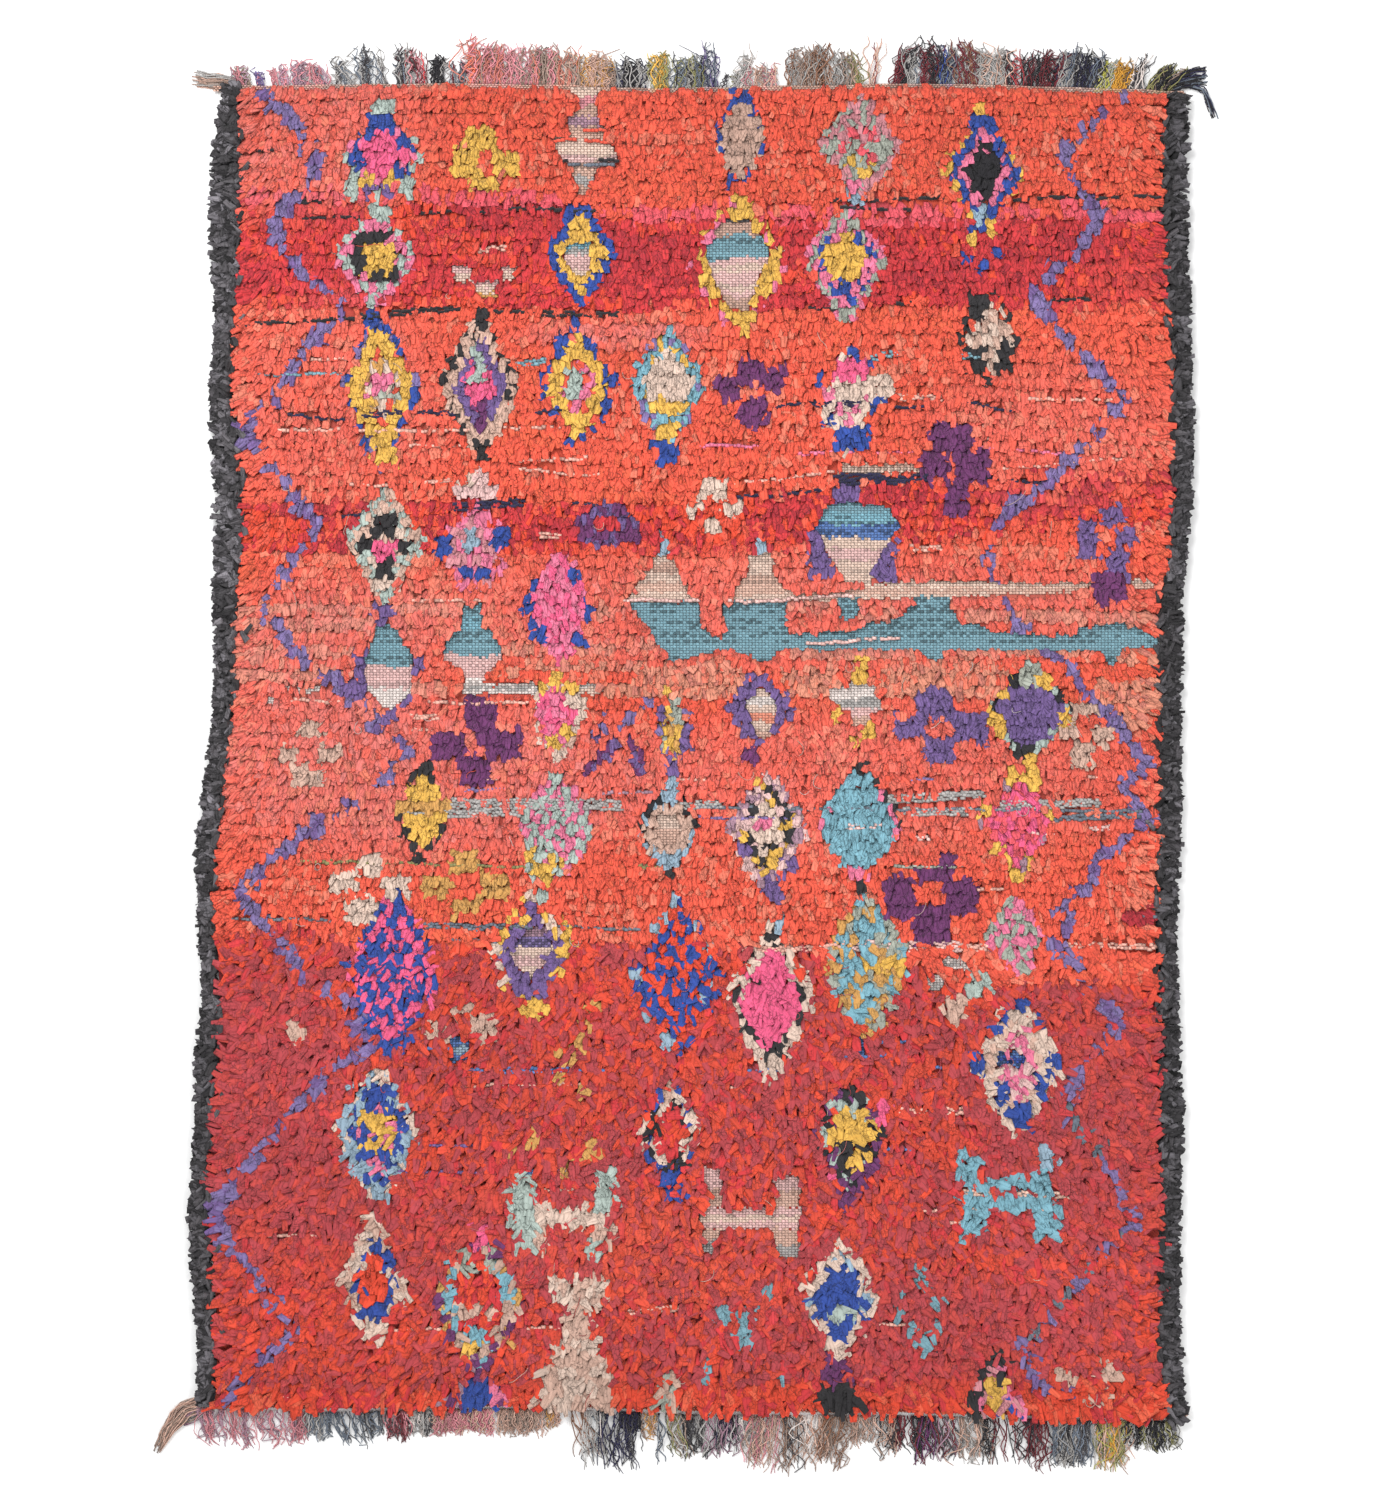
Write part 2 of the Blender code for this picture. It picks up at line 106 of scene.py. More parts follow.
# Soft random values from -1 to 1: a lattice of random numbers blended by a smooth step
def softNoise(x, y, cell, name):
    lattice = np.random.default_rng(noiseSeeds[name]).uniform(-1.0, 1.0, noiseLattice)
    u, v = np.asarray(x) / cell, np.asarray(y) / cell
    i, j = np.floor(u).astype(int), np.floor(v).astype(int)
    s, t = smoothStep(u - i), smoothStep(v - j)
    i, j, nextI, nextJ = (index % size for index, size in zip((i, j, i + 1, j + 1), noiseLattice * 2))
    near = lattice[i, j] * (1 - s) + lattice[nextI, j] * s
    far = lattice[i, nextJ] * (1 - s) + lattice[nextI, nextJ] * s
    return near * (1 - t) + far * t


# 0 up to the start and 1 from the end on, a smooth step between; the end may be the lower one
def fade(value, start, end):
    return smoothStep(np.clip((np.asarray(value, float) - start) / (end - start), 0.0, 1.0))


# the rug's outline in metres on the chart's axes; for a side: how far along, where the dark edge ends
# and where it meets the field; for an end: how far across, and how far along
leftSide = np.array([
    (0.999, -0.696, -0.669), (0.909, -0.713, -0.667), (0.819, -0.716, -0.666), (0.729, -0.713, -0.670),
    (0.639, -0.707, -0.678), (0.549, -0.716, -0.679), (0.459, -0.713, -0.670), (0.384, -0.708, -0.660),
    (0.294, -0.711, -0.666), (0.204, -0.707, -0.672), (0.114, -0.708, -0.675), (0.024, -0.714, -0.681),
    (-0.051, -0.725, -0.692), (-0.126, -0.737, -0.699), (-0.216, -0.734, -0.704),
    (-0.306, -0.727, -0.703), (-0.381, -0.725, -0.699), (-0.456, -0.738, -0.700),
    (-0.531, -0.736, -0.708), (-0.606, -0.740, -0.714), (-0.681, -0.746, -0.716),
    (-0.756, -0.744, -0.711), (-0.831, -0.737, -0.705), (-0.906, -0.732, -0.704),
    (-0.971, -0.735, -0.708),
])[::-1]
rightSide = np.array([
    (0.992, 0.756, 0.719), (0.909, 0.753, 0.711), (0.819, 0.753, 0.711), (0.729, 0.755, 0.716),
    (0.639, 0.758, 0.723), (0.549, 0.758, 0.725), (0.474, 0.762, 0.729), (0.384, 0.758, 0.728),
    (0.294, 0.750, 0.723), (0.234, 0.743, 0.708), (0.174, 0.746, 0.706), (0.084, 0.743, 0.708),
    (-0.006, 0.744, 0.708), (-0.096, 0.743, 0.707), (-0.186, 0.740, 0.705), (-0.276, 0.735, 0.705),
    (-0.366, 0.738, 0.708), (-0.456, 0.741, 0.710), (-0.531, 0.747, 0.708), (-0.606, 0.744, 0.708),
    (-0.696, 0.741, 0.711), (-0.786, 0.741, 0.710), (-0.876, 0.743, 0.707), (-0.966, 0.749, 0.716),
    (-0.992, 0.753, 0.719),
])[::-1]
shortEnd = np.array([
    (-0.716, 1.001), (-0.504, 1.002), (-0.354, 1.005), (-0.204, 1.002), (-0.054, 0.996), (0.096, 0.999),
    (0.246, 1.002), (0.396, 1.004), (0.546, 0.999), (0.762, 0.992),
])
longEnd = np.array([
    (-0.746, -0.970), (-0.579, -0.980), (-0.429, -0.978), (-0.279, -0.975), (-0.129, -0.978),
    (0.021, -0.984), (0.171, -0.985), (0.321, -0.985), (0.471, -0.989), (0.621, -0.993), (0.762, -0.993),
])


# Where a side lies at a chart row, as a chart column: line 1 is the outer line and line 2 the inner one
def sideColumn(side, row, line):
    along = (chart["middleRow"] - row) * chart["step"]
    return np.interp(along, side[:, 0], side[:, line]) / chart["step"] + chart["middleColumn"]


def endRow(end, column):
    across = (column - chart["middleColumn"]) * chart["step"]
    return chart["middleRow"] - np.interp(across, end[:, 0], end[:, 1]) / chart["step"]


# A share u from the left inner line to the right one and v from the short end to the long one. The
# sides depend on the row and the ends on the column, so both are settled in a few rounds.
def placeInField(u, v):
    column = chart["middleColumn"]
    row = endRow(shortEnd, column) + v * (endRow(longEnd, column) - endRow(shortEnd, column))
    for _ in range(chart["settlingRounds"]):
        left, right = sideColumn(leftSide, row, 2), sideColumn(rightSide, row, 2)
        column = left + u * (right - left)
        row = endRow(shortEnd, column) + v * (endRow(longEnd, column) - endRow(shortEnd, column))
    return column, row


# the motifs, charted; where several dyes are named they take turns from knot to knot, and
# "ground" leaves the ground's own dye
# lozenges: column, row, half width, reach upwards and downwards, roundness (1 has straight sides), and
# layers from the outside in, each with its share of the size
lozenges = [
    (382, 152, 44, 50, 52, 1.15, [(1.0, "mint ground"), (0.80, "cobalt pink"), (0.60, "magenta")]),
    (742, 138, 27, 46, 46, 1.35, [(1.0, "cobalt ground"), (0.84, "tan")]),
    (861, 144, 42, 52, 54, 1.10, [(1.0, "sage dustyPink"), (0.60, "dustyPink sage pinkCoral")]),
    (984, 170, 42, 66, 76, 1.05, [
        (1.0, "mustard ground"), (0.86, "cobalt"), (0.64, "pink"), (0.46, "black")]),
    (375, 257, 42, 48, 50, 1.20, [(1.0, "mint pink")]),
    (580, 254, 36, 54, 52, 1.10, [(1.0, "cobalt"), (0.76, "mustard")]),
    (738, 264, 47, 70, 74, 1.25, [(1.0, "mustard ground pink"), (0.86, "mustard")]),
    (846, 256, 43, 46, 70, 1.15, [(1.0, "sage pink"), (0.76, "cobalt pink"), (0.56, "mustard")]),
    (990, 338, 32, 52, 48, 1.15, [(1.0, "charcoalDark ground"), (0.72, "beige cream")]),
    (380, 385, 42, 72, 90, 1.10, [
        (1.0, "cobalt ground lilac"), (0.80, "mustard"), (0.50, "mustardTan coral cream")]),
    (480, 385, 41, 75, 76, 1.10, [
        (1.0, "charcoalDark beige"), (0.82, "beige"), (0.66, "violet"), (0.44, "magenta")]),
    (578, 385, 42, 68, 68, 1.15, [
        (1.0, "cobalt cobalt ground"), (0.76, "mustard"), (0.46, "pink coral")]),
    (668, 382, 38, 54, 62, 1.20, [
        (1.0, "turquoise lilac"), (0.82, "mustard turquoise"), (0.64, "cream")]),
    (850, 392, 42, 46, 66, 1.05, [(1.0, "cobalt ground cream"), (0.66, "pink cream")]),
    (384, 540, 40, 56, 62, 1.10, [(1.0, "beige mint"), (0.62, "cream beige")]),
    (474, 545, 40, 42, 48, 1.30, [(1.0, "pink dustyPink ground"), (0.70, "pink dustyPink")]),
    (606, 524, 32, 24, 24, 1.40, [(1.0, "purple violet"), (0.40, "crimson")]),
    (559, 602, 27, 52, 60, 1.45, [(1.0, "magenta pink")]),
    (557, 712, 26, 36, 52, 1.35, [(1.0, "tan ground cream"), (0.78, "magenta pink")]),
    (673, 726, 18, 38, 44, 1.30, [(1.0, "lilac ground"), (0.80, "mustardTan sage mustard")]),
    (762, 706, 36, 38, 46, 1.15, [(1.0, "violet ground"), (0.86, "violet")]),
    (1029, 712, 44, 50, 48, 1.15, [(1.0, "mustard mint black"), (0.82, "violet")]),
    (423, 812, 29, 48, 46, 1.30, [(1.0, "charcoalDark ground"), (0.84, "mustard")]),
    (556, 828, 38, 58, 54, 1.25, [(1.0, "mint pink")]),
    (668, 828, 30, 38, 44, 1.30, [(1.0, "black lightBlue"), (0.84, "beige")]),
    (767, 830, 41, 60, 60, 1.15, [
        (1.0, "mauve palePink"), (0.76, "mustard palePink charcoalDark"), (0.46, "cream")]),
    (860, 824, 42, 58, 60, 1.30, [
        (1.0, "charcoalDark ground"), (0.92, "pink turquoise"), (0.82, "turquoise")]),
    (1018, 822, 42, 54, 58, 1.15, [(1.0, "mauve ground mustard"), (0.78, "magenta pinkCoral")]),
    (392, 970, 44, 78, 84, 1.35, [(1.0, "cobalt magenta")]),
    (531, 953, 42, 62, 62, 1.15, [(1.0, "mustard ground cream"), (0.80, "violet")]),
    (676, 975, 45, 78, 88, 1.15, [(1.0, "lightBlue ground cobalt"), (0.84, "cobalt vermilion")]),
    (771, 1000, 41, 76, 84, 1.15, [(1.0, "cream"), (0.86, "charcoalDark cream"), (0.74, "magenta")]),
    (866, 962, 41, 66, 74, 1.40, [(1.0, "turquoise mustardTan turquoise sage")]),
    (1015, 935, 30, 40, 42, 1.15, [(1.0, "sage pink")]),
    (1018, 1066, 44, 70, 74, 1.20, [
        (1.0, "cream cobalt cream"), (0.80, "cream beige"), (0.50, "pink palePink")]),
    (377, 1132, 40, 68, 74, 1.25, [
        (1.0, "lightBlue cream"), (0.80, "cobalt lightBlue"), (0.60, "cobalt pink")]),
    (670, 1132, 33, 54, 62, 1.10, [
        (1.0, "cobalt ground"), (0.88, "black cream"), (0.56, "crimson vermilion")]),
    (852, 1132, 38, 56, 72, 1.15, [
        (1.0, "purple ground"), (0.86, "black mint purple"), (0.60, "mustard")]),
    (373, 1282, 32, 64, 66, 1.20, [(1.0, "cream beige"), (0.72, "cobalt cream"), (0.52, "vermilion")]),
    (478, 1298, 43, 66, 76, 1.35, [
        (1.0, "purple ground mustardTan"), (0.86, "turquoise tan"), (0.70, "crimson vermilion")]),
    (840, 1298, 38, 60, 62, 1.15, [(1.0, "cream"), (0.82, "lightBlue cream"), (0.68, "cobalt")]),
]
# shapes that widen and narrow: dyes, and stations of row, left and right
stacks = [
    ("beige cream beige", [
        (1275, 545, 609), (1290, 549, 607), (1303, 558, 600), (1313, 566, 588), (1328, 566, 588),
        (1342, 560, 595), (1358, 550, 604), (1380, 540, 612), (1408, 532, 614)]),
    ("pink dustyPink", [(1364, 984, 1004), (1390, 974, 1014), (1412, 966, 1028)]),
    ("sage beige", [(1374, 667, 672), (1408, 655, 682)]),
    ("palePink cream palePink", [(468, 468, 490), (480, 466, 491), (482, 457, 494), (499, 456, 499)]),
]
# blocks of knots by dye: left and right column, first and last row
blocks = {
    "crimsonDeep": [(1122, 1152, 906, 926)],
    "cream": [
        (833, 894, 378, 396), (700, 727, 481, 497), (721, 743, 499, 514), (688, 700, 501, 514),
        (702, 721, 518, 536), (568, 586, 695, 714), (553, 561, 750, 763), (765, 778, 1056, 1082),
        (360, 384, 856, 876), (330, 357, 872, 893), (384, 411, 876, 896), (347, 378, 896, 922),
        (530, 609, 1206, 1229), (836, 846, 1343, 1358), (374, 400, 570, 586)],
    "beige": [
        (300, 324, 718, 738), (277, 297, 744, 762), (318, 342, 744, 762), (292, 322, 766, 786),
        (1072, 1098, 704, 718), (1060, 1075, 722, 745), (1091, 1111, 722, 747), (1070, 1093, 746, 768),
        (472, 494, 1014, 1040), (450, 474, 1006, 1016), (426, 448, 1023, 1036), (944, 967, 998, 1020),
        (284, 306, 1020, 1036), (532, 545, 1226, 1252), (592, 609, 1228, 1244), (450, 516, 1308, 1315),
        (662, 674, 1084, 1100), (1058, 1078, 1370, 1384), (1090, 1114, 1360, 1370),
        (1106, 1122, 1368, 1384), (1080, 1106, 1398, 1410)],
    "mint": [
        (371, 393, 102, 116), (345, 358, 182, 196), (400, 414, 180, 196), (370, 391, 205, 225),
        (474, 483, 350, 388), (566, 584, 368, 402), (382, 393, 585, 600), (548, 562, 772, 790),
        (528, 540, 852, 882), (536, 548, 890, 902), (510, 532, 1172, 1228), (518, 532, 1226, 1252),
        (596, 613, 1168, 1210), (586, 604, 1240, 1256), (849, 862, 1101, 1112), (843, 854, 1174, 1188),
        (828, 852, 1310, 1324), (968, 987, 974, 998)],
    "sage": [
        (376, 398, 392, 402), (838, 852, 306, 324), (1020, 1040, 664, 684), (667, 677, 698, 716),
        (462, 482, 1266, 1275), (462, 470, 1250, 1268), (487, 494, 1250, 1272)],
    "violet": [
        (362, 394, 183, 197), (374, 394, 608, 624), (392, 412, 640, 654), (410, 424, 656, 672),
        (354, 366, 650, 700), (340, 358, 688, 698), (396, 414, 686, 704), (382, 395, 706, 722),
        (810, 833, 532, 576), (876, 896, 538, 578), (833, 861, 486, 500), (1078, 1099, 518, 560),
        (1100, 1123, 506, 526), (1118, 1137, 528, 548), (1106, 1129, 550, 580), (656, 664, 706, 724),
        (682, 691, 726, 750), (664, 680, 756, 772), (917, 955, 690, 718), (893, 925, 716, 741),
        (951, 985, 716, 744), (925, 955, 738, 762), (763, 780, 876, 895), (773, 782, 893, 903),
        (740, 752, 842, 858), (784, 796, 856, 874)],
    "purple": [
        (739, 768, 358, 384), (716, 740, 374, 398), (757, 786, 368, 392), (738, 769, 398, 427),
        (931, 972, 421, 450), (919, 951, 455, 482), (955, 990, 450, 484), (945, 970, 483, 515),
        (474, 488, 400, 428), (576, 592, 520, 534), (622, 640, 526, 540), (1094, 1124, 572, 604),
        (466, 496, 700, 728), (476, 486, 726, 746), (430, 464, 732, 761), (486, 521, 728, 758),
        (460, 491, 753, 783), (744, 761, 745, 766), (884, 914, 875, 915), (912, 950, 864, 882),
        (944, 978, 877, 915), (913, 949, 908, 944), (842, 853, 1186, 1207), (826, 848, 1358, 1384),
        (940, 956, 856, 872)],
    "charcoalDark": [
        (353, 396, 231, 283), (374, 396, 516, 536), (399, 411, 538, 553), (356, 372, 536, 552),
        (374, 392, 558, 574), (474, 487, 312, 326), (476, 490, 440, 458), (968, 984, 292, 320),
        (998, 1012, 344, 370), (968, 984, 350, 372), (420, 432, 763, 777), (414, 422, 850, 860),
        (664, 672, 866, 882), (1014, 1034, 744, 758), (852, 866, 760, 773), (854, 864, 878, 889),
        (766, 779, 840, 850), (765, 780, 1044, 1058), (768, 776, 936, 950), (846, 862, 1086, 1101),
        (842, 860, 1144, 1160), (840, 852, 1160, 1174), (668, 682, 1156, 1175), (820, 858, 1384, 1410),
        (988, 1002, 1353, 1370), (978, 986, 1370, 1382), (1003, 1012, 1370, 1380), (966, 982, 1392, 1412)],
    "cobalt": [
        (366, 394, 115, 131), (396, 409, 135, 146), (397, 411, 168, 178), (352, 364, 154, 168),
        (728, 742, 175, 186), (730, 737, 93, 102), (747, 754, 93, 102), (970, 994, 110, 130),
        (968, 988, 224, 234), (962, 976, 252, 262), (989, 1002, 244, 256), (974, 988, 264, 274),
        (572, 588, 202, 214), (833, 852, 278, 298), (366, 382, 314, 330), (835, 868, 424, 448),
        (858, 872, 354, 366), (655, 676, 440, 462), (434, 452, 534, 558), (494, 510, 526, 546),
        (460, 472, 568, 580), (476, 488, 566, 578), (530, 538, 578, 594), (520, 532, 598, 612),
        (527, 536, 614, 626), (536, 547, 626, 640), (570, 580, 566, 583), (584, 592, 600, 612),
        (584, 592, 614, 626), (572, 585, 630, 643), (393, 403, 893, 908), (380, 392, 1034, 1051),
        (1012, 1027, 996, 1010), (1046, 1060, 1052, 1070), (972, 985, 1056, 1071),
        (1010, 1028, 1104, 1122), (1013, 1023, 1118, 1131), (1034, 1045, 1078, 1096),
        (998, 1009, 1080, 1102), (368, 388, 1088, 1104), (664, 679, 1172, 1207), (370, 384, 1242, 1258),
        (380, 394, 1256, 1272), (364, 387, 1302, 1320), (352, 361, 1270, 1294), (385, 394, 1280, 1302),
        (464, 492, 1380, 1411), (832, 849, 1325, 1344), (819, 829, 1310, 1324), (852, 862, 1310, 1325),
        (995, 1014, 1403, 1412)],
    "lightBlue": [
        (849, 861, 192, 203), (972, 990, 208, 222), (464, 477, 526, 556), (662, 678, 790, 808),
        (658, 678, 850, 868), (668, 676, 772, 796), (375, 386, 1184, 1205), (772, 784, 914, 928),
        (660, 668, 538, 554), (757, 767, 538, 552)],
    "turquoise": [
        (656, 684, 414, 424), (848, 873, 772, 800), (464, 484, 1326, 1342), (500, 508, 1276, 1300),
        (446, 454, 1286, 1310)],
    "pink": [
        (364, 390, 222, 232), (388, 400, 236, 250), (352, 370, 272, 282), (846, 860, 181, 194),
        (835, 851, 298, 308), (368, 390, 372, 392), (552, 563, 640, 658), (759, 773, 815, 829),
        (848, 869, 865, 878), (372, 386, 1163, 1174)],
    "magenta": [
        (374, 397, 539, 559), (833, 867, 356, 378), (472, 490, 1229, 1247), (877, 890, 1103, 1121),
        (834, 842, 1174, 1188)],
    "mustard": [
        (362, 394, 242, 273), (362, 374, 174, 184), (384, 396, 172, 186), (974, 988, 100, 114),
        (966, 978, 236, 246), (986, 996, 222, 240), (467, 498, 127, 148), (453, 478, 145, 174),
        (494, 521, 151, 173), (470, 497, 172, 193), (572, 592, 214, 230), (731, 744, 193, 204),
        (744, 754, 200, 214), (845, 857, 157, 168), (860, 873, 162, 175), (368, 386, 330, 348),
        (354, 372, 395, 420), (393, 412, 396, 412), (374, 396, 444, 466), (654, 680, 398, 412),
        (656, 674, 424, 438), (548, 562, 674, 688), (535, 547, 684, 698), (564, 577, 684, 698),
        (563, 573, 722, 740), (547, 560, 734, 750), (662, 670, 684, 700), (856, 868, 654, 682),
        (850, 858, 668, 686), (830, 841, 707, 722), (861, 875, 722, 738), (850, 862, 734, 744),
        (1036, 1047, 675, 688), (998, 1008, 683, 698), (986, 1004, 708, 724), (996, 1006, 722, 736),
        (1023, 1038, 756, 778), (1060, 1071, 710, 726), (524, 534, 846, 858), (532, 547, 858, 872),
        (549, 567, 857, 869), (542, 552, 871, 882), (757, 767, 774, 792), (767, 781, 850, 868),
        (1007, 1016, 766, 782), (1028, 1038, 766, 782), (981, 991, 802, 815), (1046, 1055, 808, 822),
        (991, 1003, 842, 853), (1010, 1027, 871, 883), (520, 528, 912, 930), (498, 507, 932, 948),
        (560, 572, 922, 955), (519, 546, 996, 1014), (862, 905, 961, 971), (360, 394, 1111, 1134),
        (360, 388, 1137, 1149), (834, 868, 1112, 1142), (466, 483, 1343, 1357), (986, 1008, 1380, 1411)],
    "mustardTan": [
        (450, 478, 850, 877), (425, 451, 874, 897), (480, 508, 875, 899), (451, 483, 896, 916),
        (396, 451, 799, 815), (573, 582, 1086, 1100), (590, 598, 1000, 1014), (586, 592, 1014, 1030),
        (574, 584, 1036, 1050), (553, 562, 1050, 1060), (566, 574, 1052, 1066), (556, 566, 1072, 1088),
        (530, 538, 1128, 1150), (508, 515, 1146, 1158), (588, 597, 1140, 1156), (562, 568, 1160, 1176)],
    "teal": [
        (716, 728, 1305, 1320), (737, 752, 1315, 1332), (735, 744, 1330, 1348), (746, 755, 1330, 1348),
        (766, 777, 1285, 1296), (760, 768, 1300, 1312), (912, 921, 1266, 1280), (922, 930, 1278, 1290),
        (901, 908, 1286, 1294), (892, 900, 1298, 1314), (898, 906, 1314, 1324), (934, 944, 1298, 1314),
        (910, 919, 1324, 1340), (930, 938, 1326, 1340), (917, 931, 1340, 1354), (701, 708, 1374, 1384),
        (706, 713, 1360, 1370), (780, 787, 1374, 1384)],
}
# zigzag lines: half width, dyes and corners
zigzags = [
    (6.0, "lilac violet ground lilac lilac", [
        (256, 86), (288, 119), (322, 158), (288, 200), (272, 232), (302, 270), (340, 300), (335, 317),
        (300, 352), (286, 385), (250, 420), (245, 438), (284, 485), (322, 526), (284, 573), (262, 610),
        (285, 640), (345, 692), (385, 728), (408, 752), (375, 785), (340, 812), (290, 842), (237, 892),
        (262, 920), (300, 968), (352, 1010), (368, 1042), (340, 1068), (300, 1100), (262, 1148),
        (215, 1205), (222, 1240), (262, 1290), (292, 1330), (262, 1360), (230, 1390)]),
    (6.0, "lilac violet ground lilac lilac", [
        (1127, 93), (1098, 118), (1062, 150), (1076, 188), (1104, 216), (1076, 254), (1034, 288),
        (1042, 310), (1076, 345), (1108, 381), (1124, 400), (1088, 440), (1060, 472), (1012, 510),
        (992, 545), (990, 575), (1010, 612), (1032, 640), (1070, 668), (1105, 715), (1138, 748),
        (1148, 762), (1126, 786), (1148, 822), (1100, 858), (1092, 882), (1058, 910), (1072, 920),
        (1050, 940), (1078, 968), (1104, 1005), (1122, 1030), (1085, 1062), (1070, 1090)]),
    (4.5, "lilac slate ground lilac", [
        (1070, 1090), (1072, 1120), (1090, 1145), (1112, 1168), (1124, 1196), (1140, 1222), (1112, 1246),
        (1088, 1270), (1066, 1296), (1040, 1328), (1018, 1342)]),
    (4.0, "lilac violet", [(1028, 1358), (1034, 1378), (1058, 1390), (1076, 1412)]),
    (5.5, "purple violet", [(588, 768), (606, 750), (624, 732)]),
    (5.5, "violet purple", [(630, 742), (636, 758), (643, 774)]),
    (3.0, "lilac violet", [(608, 712), (600, 728), (594, 740)]),
    (3.0, "lilac", [(646, 702), (634, 714), (620, 730)]),
    (4.5, "purple mauve", [(444, 1318), (452, 1338), (466, 1354), (477, 1374), (462, 1390), (446, 1410)]),
    (4.5, "purple pink", [(510, 1318), (496, 1340), (486, 1356), (477, 1374), (490, 1388), (508, 1404)]),
]
# how much the thickness of a zigzag line changes, how far it strays sideways, and over how many steps
zigzagWander = {"thick": 0.70, "thickCell": 17.0, "sideways": 3.0, "sidewaysCell": 25.0}
# figures with two uprights and bars, as left and right column, first and last row
barFigures = {
    "turquoise": [
        (958, 979, 1152, 1182), (962, 1052, 1177, 1191), (962, 1054, 1197, 1211), (962, 988, 1211, 1238),
        (1033, 1057, 1211, 1239), (1033, 1054, 1164, 1180)],
    "lightBlue": [(1034, 1054, 1150, 1166)],
}
# flat-woven places: dyes from top to bottom, and stations of row, left and right
flatPlaces = [
    ("cream dustyPink tan mauve beige cream cream palePink beige grey tan", [
        (86, 568, 600), (96, 577, 598), (106, 578, 596), (114, 566, 600), (133, 565, 607),
        (134, 548, 608), (160, 562, 619), (168, 570, 600), (181, 574, 592), (194, 578, 588)]),
    ("palePink cream", [(263, 451, 472), (281, 453, 474)]),
    ("palePink cream", [(261, 500, 521), (279, 502, 516)]),
    ("palePink cream mustardTan", [(278, 472, 498), (299, 474, 498)]),
    ("turquoise grey palePink palePink cream", [
        (240, 568, 590), (252, 564, 594), (262, 565, 592), (277, 576, 588)]),
    ("charcoal tan tan teal teal teal teal palePink cream palePink palePink cream palePink tan tan", [
        (216, 726, 746), (230, 712, 758), (240, 708, 766), (256, 706, 770), (276, 710, 760),
        (296, 722, 754), (308, 730, 750)]),
    ("teal turquoise blue cream palePink cream cream", [
        (500, 838, 874), (508, 822, 888), (524, 812, 902), (540, 822, 892), (560, 832, 880),
        (584, 846, 870)]),
    ("beige cream", [(460, 852, 900), (465, 840, 926), (473, 838, 928)]),
    ("cream tan cream beige cream", [(553, 654, 672), (578, 640, 684), (602, 624, 699)]),
    ("cream beige", [
        (550, 750, 770), (562, 742, 776), (570, 748, 770), (585, 736, 782), (600, 730, 800)]),
    ("cream beige cream", [
        (580, 905, 1092), (586, 858, 1092), (592, 792, 1080), (597, 735, 960), (601, 730, 850)]),
    ("cream beige", [(578, 1127, 1157), (590, 1130, 1157)]),
    ("teal", [
        (602, 626, 698), (612, 634, 702), (624, 645, 700), (640, 655, 722), (651, 664, 722),
        (662, 669, 673)]),
    ("teal", [(601, 722, 788), (650, 722, 788), (654, 750, 776), (664, 760, 765)]),
    ("teal", [(597, 837, 861), (618, 838, 859)]),
    ("teal", [
        (596, 915, 950), (612, 905, 955), (622, 880, 966), (629, 830, 1000), (634, 788, 1157),
        (646, 720, 1157), (651, 722, 1100)]),
    ("teal", [(648, 918, 948), (659, 924, 942)]),
    ("teal", [(620, 1106, 1126), (636, 1050, 1157), (650, 1098, 1124), (668, 1110, 1114)]),
    ("teal teal teal teal palePink palePink white white", [
        (622, 376, 396), (640, 372, 402), (655, 364, 412), (667, 364, 414), (686, 364, 414),
        (698, 374, 408), (708, 382, 393)]),
    ("teal turquoise teal teal palePink palePink white", [
        (604, 462, 482), (625, 460, 486), (641, 444, 500), (660, 440, 502), (666, 456, 496),
        (680, 466, 482), (693, 468, 478)]),
    ("white grey white", [(683, 458, 536), (694, 462, 538)]),
    ("white cream", [(681, 578, 603), (695, 578, 602)]), ("white", [(686, 284, 336), (693, 286, 336)]),
    ("white", [(697, 264, 280), (705, 264, 280)]),
    ("cream white cream peach cream tan", [
        (688, 756, 768), (700, 746, 778), (716, 746, 778), (730, 752, 774), (740, 760, 766)]),
    ("white white grey palePink beige", [
        (681, 848, 872), (688, 822, 880), (708, 838, 884), (713, 852, 872), (726, 852, 868)]),
    ("mauve lilac cream palePink cream", [
        (926, 528, 548), (940, 516, 552), (950, 508, 553), (960, 510, 552), (970, 520, 542),
        (977, 528, 536)]),
    ("cream beige", [(812, 660, 676), (826, 652, 684), (846, 660, 676)]),
    ("blue cobalt blue", [(1052, 995, 1029), (1068, 995, 1029)]),
    ("blue lightBlue blue", [(1038, 447, 470), (1063, 449, 469)]),
    ("blue", [(1034, 854, 866), (1056, 853, 866)]),
    ("palePink beige", [(1168, 702, 722), (1208, 705, 722)]),
    ("palePink beige", [(1174, 771, 801), (1208, 774, 800)]),
    ("palePink cream palePink", [(1208, 700, 802), (1230, 702, 800)]),
    ("beige grey", [(1230, 701, 722), (1254, 700, 715)]),
    ("beige grey", [(1230, 773, 800), (1260, 776, 802)]),
    ("white grey white", [(958, 942, 970), (971, 940, 970)]),
    ("white grey", [(975, 918, 946), (990, 922, 944)]), ("grey", [(1268, 466, 480), (1275, 466, 480)]),
]


